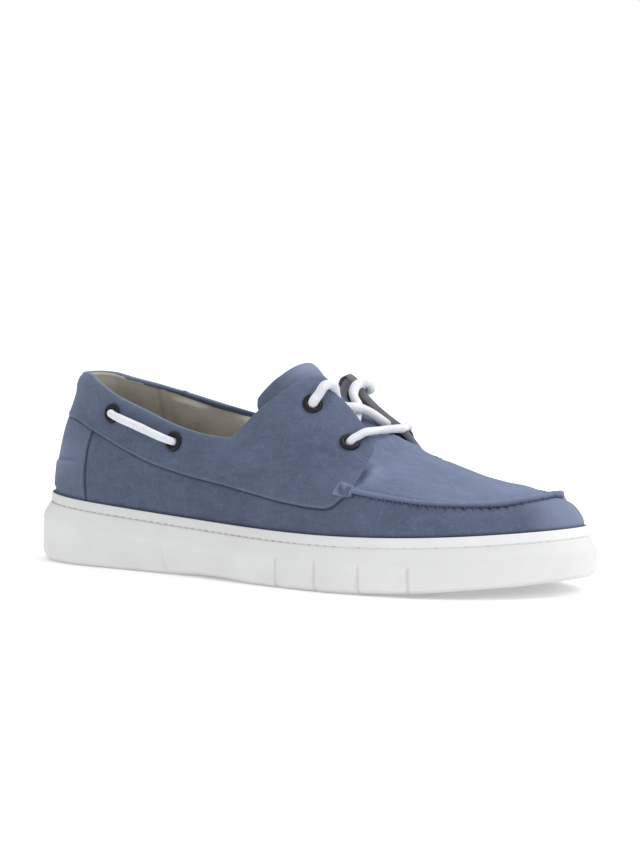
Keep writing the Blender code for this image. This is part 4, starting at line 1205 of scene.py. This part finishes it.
def build_tongue():
    """A foam-filled tongue: rounded over its top edge, with a sewn channel below it."""
    fine = np.concatenate([np.linspace(0, 5, int(56 / FINE), endpoint=False),
                           np.linspace(5, 9, int(84 / FINE))])
    along, height, half, drop, sweep, thick = (
        glide(range(len(TONGUE)), column, fine)[:, None] for column in zip(*TONGUE)
    )
    count = int(104 / FINE) // 2 * 2
    angle = (np.arange(count) / count * 2 * math.pi)[None, :]
    share = np.sign(np.cos(angle)) * np.abs(np.cos(angle)) ** 0.8
    depth = 0.5 * thick * (1 - np.sin(angle))
    bend = share ** 2
    points = np.stack([along - sweep * bend - 0.5 * depth, half * share,
                       height - drop * bend - depth], axis=-1)
    around = np.roll(points, -1, axis=1) - np.roll(points, 1, axis=1)
    out = unit(np.cross(around, np.gradient(points, axis=0)))
    middle = points.mean(axis=1, keepdims=True)
    out *= np.sign(np.sum(out * (points - middle), axis=-1).mean())
    down = lengths(points[::-1, count // 4])[::-1][:, None]
    face = ease(-0.2, 0.25, np.sin(angle))
    beside = np.abs(share)
    channel = bell(down, 8, 1.2) * face * (1 - ease(0.5, 0.8, beside))
    edge = bell(beside, 0.93, 0.035) * face * ease(4, 9, down)
    lift = 0.2 * bell(down, 3, 3) * face - 0.2 * channel - 0.2 * edge
    lift += 2 * bell(down, 10, 7) * ease(0.5, 0.95, beside)
    lift += 0.3 * bell(down, 14, 4) * face * (1 - beside)
    lift += (0.22 * ripple(points, 17, 61) + 0.1 * ripple(points, 6, 62)) * face
    lift *= ease(0, 0.6, fine)[:, None]
    skin = points + out * lift[..., None]
    skin[..., 2] -= 1.6 * ease(0.15, 0.7, share) * ease(17, 3, down)
    # The tone paints highlight over the tongue's top toward its inner side, and shade in the sewn
    # channel, along its edges and on its outer side.
    tone = 0.85 * ease(-0.85, -0.1, share) * ease(15, 5, down) - 0.15 * (channel + edge)
    tone -= 0.1 * ease(-0.5, -0.9, share)
    rows = len(skin)
    faces = list(grid_faces(rows, count, close_columns=True))
    for first, turn in ((0, 1), ((rows - 1) * count, -1)):
        for k in range(count // 2):
            faces.append(np.array([first + k, first + k + 1, first + count - k - 1,
                                   first + (count - k) % count])[::turn])
    faces = np.array([f for f in faces if len(set(f)) == 4])
    slots = np.zeros(len(faces), int)
    slots[:(rows - 1) * count] = np.tile(np.sin(angle[0]) < -0.3, rows - 1)
    piece = add_mesh("tongue_pad", skin, faces, [SUEDE, LINING], ["tongue"], tone, slots)


# ---- eyelets ----
# A turned eyelet, from its bore's edge over the flange and down the bore: from axis, above leather
EYELET_PROFILE = (
    (2.45, 0.30), (2.50, 0.75), (2.68, 1.10), (3, 1.30), (3.4, 1.36), (3.9, 1.26), (4.35, 1.02),
    (4.66, 0.66), (4.78, 0.25), (4.72, 0), (3.2, -0.05), (3.1, -0.6), (3.1, -2.4), (3.2, -3.1),
    (3.6, -3.2), (3.7, -3.45), (3.3, -3.7), (2.75, -3.7), (2.5, -3.4), (2.45, -2), (2.45, -0.6),
)


def build_eyelets():
    """Eight turned eyelets, enamelled black outside with bare metal down the bore."""
    count, turns = len(EYELET_PROFILE), 56
    angle = (np.arange(turns) / turns * 2 * math.pi)[:, None]
    faces = grid_faces(count, turns, close_rows=True, close_columns=True)
    slots = np.zeros((count, turns), int)
    slots[-2:] = 1      # the bore's own rows
    for name, (spot, out) in SPOTS.items():
        flat = unit(np.cross(out, (0, 0, 1)))
        around = np.cos(angle) * flat + np.sin(angle) * np.cross(out, flat)
        rows = [spot + around * radius + out * above for radius, above in EYELET_PROFILE]
        add_mesh("ring_" + name, rows, faces, [BLACK, BORE], ["eyelet_" + name],
                 face_slots=slots)


# ---- the lace ----
LACE_BAR = (
    (202, -20.9, 69.7), (202.6, -14.5, 70.2), (202.8, -8, 70.3), (202.6, 0, 70.3),
    (201.8, 6, 70.1), (200.4, 11, 69.8), (198.6, 14.8, 69.6), (196.4, 18.4, 69.2),
)
LACE_OUTER_LOOP = (
    (182.5, -24.5, 90.6), (183.1, -20.5, 91.2), (182.2, -16.6, 89.4), (180.9, -14.2, 86.2),
    (180.8, -13, 83.4), (183.2, -13, 81.4), (185.6, -11.8, 80.4), (187.7, -9.5, 80.3),
    (188.2, -5, 79.7), (188.4, 0, 78.1), (188.9, 4.5, 76), (190.4, 9, 73.1), (190.4, 12.5, 71.3),
    (189.8, 16, 69.8),
)
LACE_INNER_LOOP = (
    (194.2, -18, 69.2), (191.8, -14, 71.2), (188.7, -9, 73.4), (185.7, -4, 75.7),
    (183.2, 0.8, 78.3), (180.2, 4, 80.7), (176.3, 7, 83.1), (173.4, 10, 85.6), (172.5, 13, 88.2),
    (172.5, 16.5, 89.5), (173.5, 20, 89.9), (172.8, 23.8, 88.3), (170.5, 27.6, 86.2),
)
LACE_LOOP = 4.5     # the lace lies flatter and wider where it bends over the flaps
# A lace leaves an eyelet straight and then bends over: above the leather, sideways
LACE_BEND = ((-3.4, -0.6), (-1.4, -0.3), (0.5, 0.2), (2.1, 1.5), (3, 4.2))


def leave(name, target, flat=1):
    """The points by which the lace leaves an eyelet, towards a target."""
    spot, out = SPOTS[name]
    side = target - spot
    side = unit(side - out * np.dot(side, out))
    return [spot + out * above * (flat if above > 0 else 1) + side * beside
            for above, beside in LACE_BEND]


def add_lace(name, route, node, diameter):
    """A round braided lace along a smooth path: crossing strands stand up from its surface."""
    strands, pitch = 7, 10.5
    path = smooth_path(route, 0.3 * FINE)
    sides = int(48 / FINE)
    ahead = unit(np.gradient(path, axis=0))
    across = np.cross(ahead[0], (0.3, 0.2, 1))
    frames = []
    for forward in ahead:
        across = unit(across - forward * np.dot(across, forward))
        frames.append(across)
    frames = np.array(frames)
    up = np.cross(ahead, frames)
    angle = (np.arange(sides) / sides)[None, :]
    run = lengths(path)[:, None]
    u = strands * (angle + run / pitch)
    v = strands * (angle - run / pitch)
    over = (np.floor(u) + np.floor(v)) % 2 < 0.5
    crown = np.abs(np.sin(math.pi * np.where(over, u, v)))
    dip = 1 - np.minimum(1, 1.25 * crown ** 0.7)
    squash = 1 + 0.05 * np.cos(4 * math.pi * angle + run * 0.13) + 0.02 * np.sin(run * 0.5)
    radius = (diameter / 2 - 0.15 * dip) * squash
    turn = (2 * math.pi * angle)[..., None]
    points = path[:, None] + radius[..., None] * (
        frames[:, None] * np.cos(turn) + up[:, None] * np.sin(turn))
    faces = grid_faces(len(path), sides, close_columns=True, flip=True)
    # tone paints shade in the gaps between the strands
    add_mesh(name, points, faces, [CORD], [node], -0.6 * dip)


def build_laces():
    """The bar across the throat, the two halves of the crossing above it, and a run on each side."""
    bar, outer, inner = list(LACE_BAR), list(LACE_OUTER_LOOP), list(LACE_INNER_LOOP)
    add_lace("lace_lower", leave("throat_lower_outer", bar[0], 0.6) + bar
             + leave("throat_lower_inner", bar[-1], 0.7)[::-1], "lace_bar", LACE)
    add_lace("lace_loop_outer", leave("throat_upper_outer", outer[0]) + outer, "lace_crossing",
             LACE_LOOP)
    add_lace("lace_loop_inner", inner + leave("throat_upper_inner", inner[-1])[::-1],
             "lace_crossing", LACE_LOOP)
    for side in ("outer", "inner"):
        rear, front = SPOTS["side_rear_" + side], SPOTS["side_front_" + side]
        middle = (rear[0] + front[0]) / 2 + (rear[1] + front[1]) / 2 * 3.3
        add_lace("lace_run_" + side, leave("side_rear_" + side, front[0]) + [middle]
                 + leave("side_front_" + side, rear[0])[::-1], "lace_side_" + side, LACE + 0.1)


# ---- stitches ----
# One stitch of thread, as shares of its length and of its radius
STITCH = np.array(((-0.5, 0.1), (-0.42, 0.7), (-0.2, 1), (0.2, 1), (0.42, 0.7), (0.5, 0.1)))
# The moccasin seam's thread, from the toe's wall up over the lip: up the last, out from it
MOC_THREAD = ((-2.3, -0.55), (-1.9, -0.1), (-1.3, 0.2), (-1.05, 0.8), (-1, 1.5), (-0.7, 1.9))


def sew(name, lines, pitch, length, radius, kind=THREAD, node="upper"):
    """Rows of thread stitches: short arched capsules along lines of points and ways out. With no
    pitch, each line has one stitch at its middle."""
    sides = 6
    angle = (np.arange(sides) / sides * 2 * math.pi)[:, None]
    base = grid_faces(len(STITCH), sides, close_columns=True, flip=True)
    points = []
    for line, out in lines:
        gone = lengths(line)
        middles = np.arange(pitch * 0.5, gone[-1] - pitch * 0.3, pitch) if pitch else [gone[-1] / 2]
        for middle in middles:
            at = middle + STITCH[:, 0] * length
            spot, away = read_path(at, gone, line), unit(read_path(at, gone, out))
            side = unit(np.cross(unit(spot[-1:] - spot[:1]), away))
            sunk = (0.2 - 3.2 * STITCH[:, :1] ** 2) * radius
            rim = side[:, None] * np.cos(angle) + away[:, None] * np.sin(angle)
            points.append((spot + away * sunk)[:, None] + rim * radius * STITCH[:, 1:, None])
    first = np.arange(len(points))[:, None, None] * (len(STITCH) * sides)
    add_mesh(name, points, (base + first).reshape(-1, 4), [kind], [node])


def seam_line(places, steps, lifts):
    """A line on the upper, its points and ways out."""
    line, out = surface(places, steps)
    line = line + out * (lifts - heel_tuck(line))[..., None]
    return settled(line, ease(0.7, 1, steps)), out


def build_stitches():
    """Every visible row of thread: overlay, flaps, counter, moccasin seam, sole and tongue."""
    where = np.mod(np.arange(START + 12, FRONT_OUTER - 12, 1), WHOLE)
    steps, _ = walk_up(where, overlay_step(where), 1, (0.9, 1.9), 1)
    sew("stitch_overlay", [seam_line(where, steps[:, 1], OVERLAY + 0.02)], 3.3, 2.3, 0.24)
    step = np.concatenate([np.linspace(0.6, 0.93, 40), np.linspace(0.935, 0.965, 8)])
    beside = 1.9 + 5.2 * np.clip((step - 0.93) / 0.035, 0, 1) ** 2
    sew("stitch_flaps", [
        seam_line(front + turn * beside, step, flap_soft(step, beside) - 0.04)
        for front, turn in ((FRONT_OUTER, -1), (FRONT_INNER, 1))
    ], 3, 2.1, 0.22)

    lines = []
    for inner in (False, True):
        points, outs = (np.array(part) for part in zip(*(
            on_upper(profile(COUNTER_SEAM, z) - 1.9, z, inner) for z in np.linspace(61, 34, 60)
        )))
        lines.append((points + outs * (COUNTER + 0.05), outs))
    sew("stitch_counter", lines, 2.9, 1.9, 0.26, PALE_THREAD)

    # the moccasin seam's threads cross from the toe's wall to the lip, one at each gather
    lines = []
    first = math.ceil(FRONT_OUTER / MOC_PITCH) + 2
    for place in np.arange(first * MOC_PITCH, FRONT_INNER - 6, MOC_PITCH):
        middle, out = surface(place, 0.5)
        rise = unit(last(place, 0.51) - last(place, 0.49))
        path = smooth_path([middle + rise * a + out * b for a, b in MOC_THREAD], 0.3)
        lines.append((path, np.tile(out, (len(path), 1))))
    sew("stitch_moccasin", lines, None, 2.4, 0.22)

    # round the sole, wandering a little in its groove
    places = np.arange(0, WHOLE, 1)
    rim = rim_height(RING.point(places)[:, 0])
    sunk = 0.16 * np.sin(places * 0.83) * np.sin(places * 0.31 + 2)
    line = sole_spot(places, 1.5 + sunk, rim - 4.55 + 0.5 * sunk)
    away = np.pad(-RING.inward(places), ((0, 0), (0, 1)))
    sew("stitch_sole", [(line, away)], 4.6, 3, 0.34, SOLE_THREAD, "outsole")

    # one row under the tongue's channel
    share = np.linspace(-0.82, 0.82, 60)
    mix = 0.28      # how far the row lies from the tongue's seventh section to its eighth
    along, height, half, drop, sweep, _ = (
        low * (1 - mix) + high * mix for low, high in zip(TONGUE[6], TONGUE[7])
    )
    line = np.stack([along - sweep * share ** 2, half * share, height - drop * share ** 2], axis=1)
    tilt = unit((0.62, 0, 0.78) + share[:, None] * (0, 0.9, 0))
    sew("stitch_tongue", [(line + tilt * 0.15, tilt)], 3, 2, 0.22, node="tongue")


# ---- floor, light and camera ----
SIDE_LIGHT, TOP_LIGHT, TOE_LIGHT, KEY_LIGHT = 0.25, 0.86, 0.65, 1.3


def aimed(name, data, ahead, spot=(0, 0, 0)):
    """A light or camera at a spot, looking ahead along a vector."""
    made = bpy.data.objects.new(name, data)
    bpy.context.scene.collection.objects.link(made)
    made.location = spot
    made.rotation_euler = ahead.to_track_quat("-Z", "Y").to_euler()
    return made


def build_studio():
    """A pale table, a soft sky that is brighter overhead and ahead, a soft key light and the
    camera."""
    bpy.ops.mesh.primitive_plane_add(size=60, location=(0, 0, 0))
    floor = bpy.context.object
    floor.name = "studio_floor"
    floor.data.materials.append(table_top("studio_floor"))

    scene = bpy.context.scene
    scene.world = bpy.data.worlds.new("studio")
    scene.world.use_nodes = True
    sky = Nodes(scene.world.node_tree)
    glow = sky.tree.nodes["Background"]
    up = sky.add("SeparateXYZ", "Z", {"Vector": sky.add("TexCoord", "Generated", {})})
    overhead = sky.span(up, 0, 0.85, SIDE_LIGHT, TOP_LIGHT, "SMOOTHSTEP")
    ahead = sky.span(up.node.outputs["X"], 0.2, 1, 0, TOE_LIGHT, "SMOOTHSTEP")
    strength = sky.add("Math", "Value", {0: overhead, 1: ahead})
    sky.feed(glow, {"Color": (0.98, 0.99, 1, 1), "Strength": strength})
    seen = sky.add("Background", "Background", {"Color": (1, 1, 1, 1), "Strength": 1})
    mixed = sky.add("MixShader", "Shader", {
        "Fac": sky.add("LightPath", "Is Camera Ray", {}), 1: glow.outputs["Background"], 2: seen,
    })
    sky.feed(sky.tree.nodes["World Output"], {"Surface": mixed})

    key = bpy.data.lights.new("key", "SUN")
    key.energy, key.angle = KEY_LIGHT, math.radians(70)
    aimed("key", key, Vector((-0.26, -0.42, -0.87)))

    azimuth, elevation, away = math.radians(37), math.radians(4.01), 1.5
    aim = Vector((8.4, 0.8, 69.49)) * MM
    back_way = Vector((math.sin(azimuth) * math.cos(elevation),
                       -math.cos(azimuth) * math.cos(elevation), math.sin(elevation)))
    lens = bpy.data.cameras.new("camera")
    lens.lens, lens.sensor_width = 135.39, 36
    lens.clip_start, lens.clip_end = 0.05, 50
    scene.camera = aimed("camera", lens, -back_way, aim + back_way * away)
    scene.view_settings.view_transform = "Standard"
    scene.view_settings.look = "None"


for build in (
    build_wall, build_vamp, build_overlay, build_lining, build_tacks, build_outsole, build_tread,
    build_insole, build_tongue, build_eyelets, build_laces, build_stitches, build_studio,
):
    build()
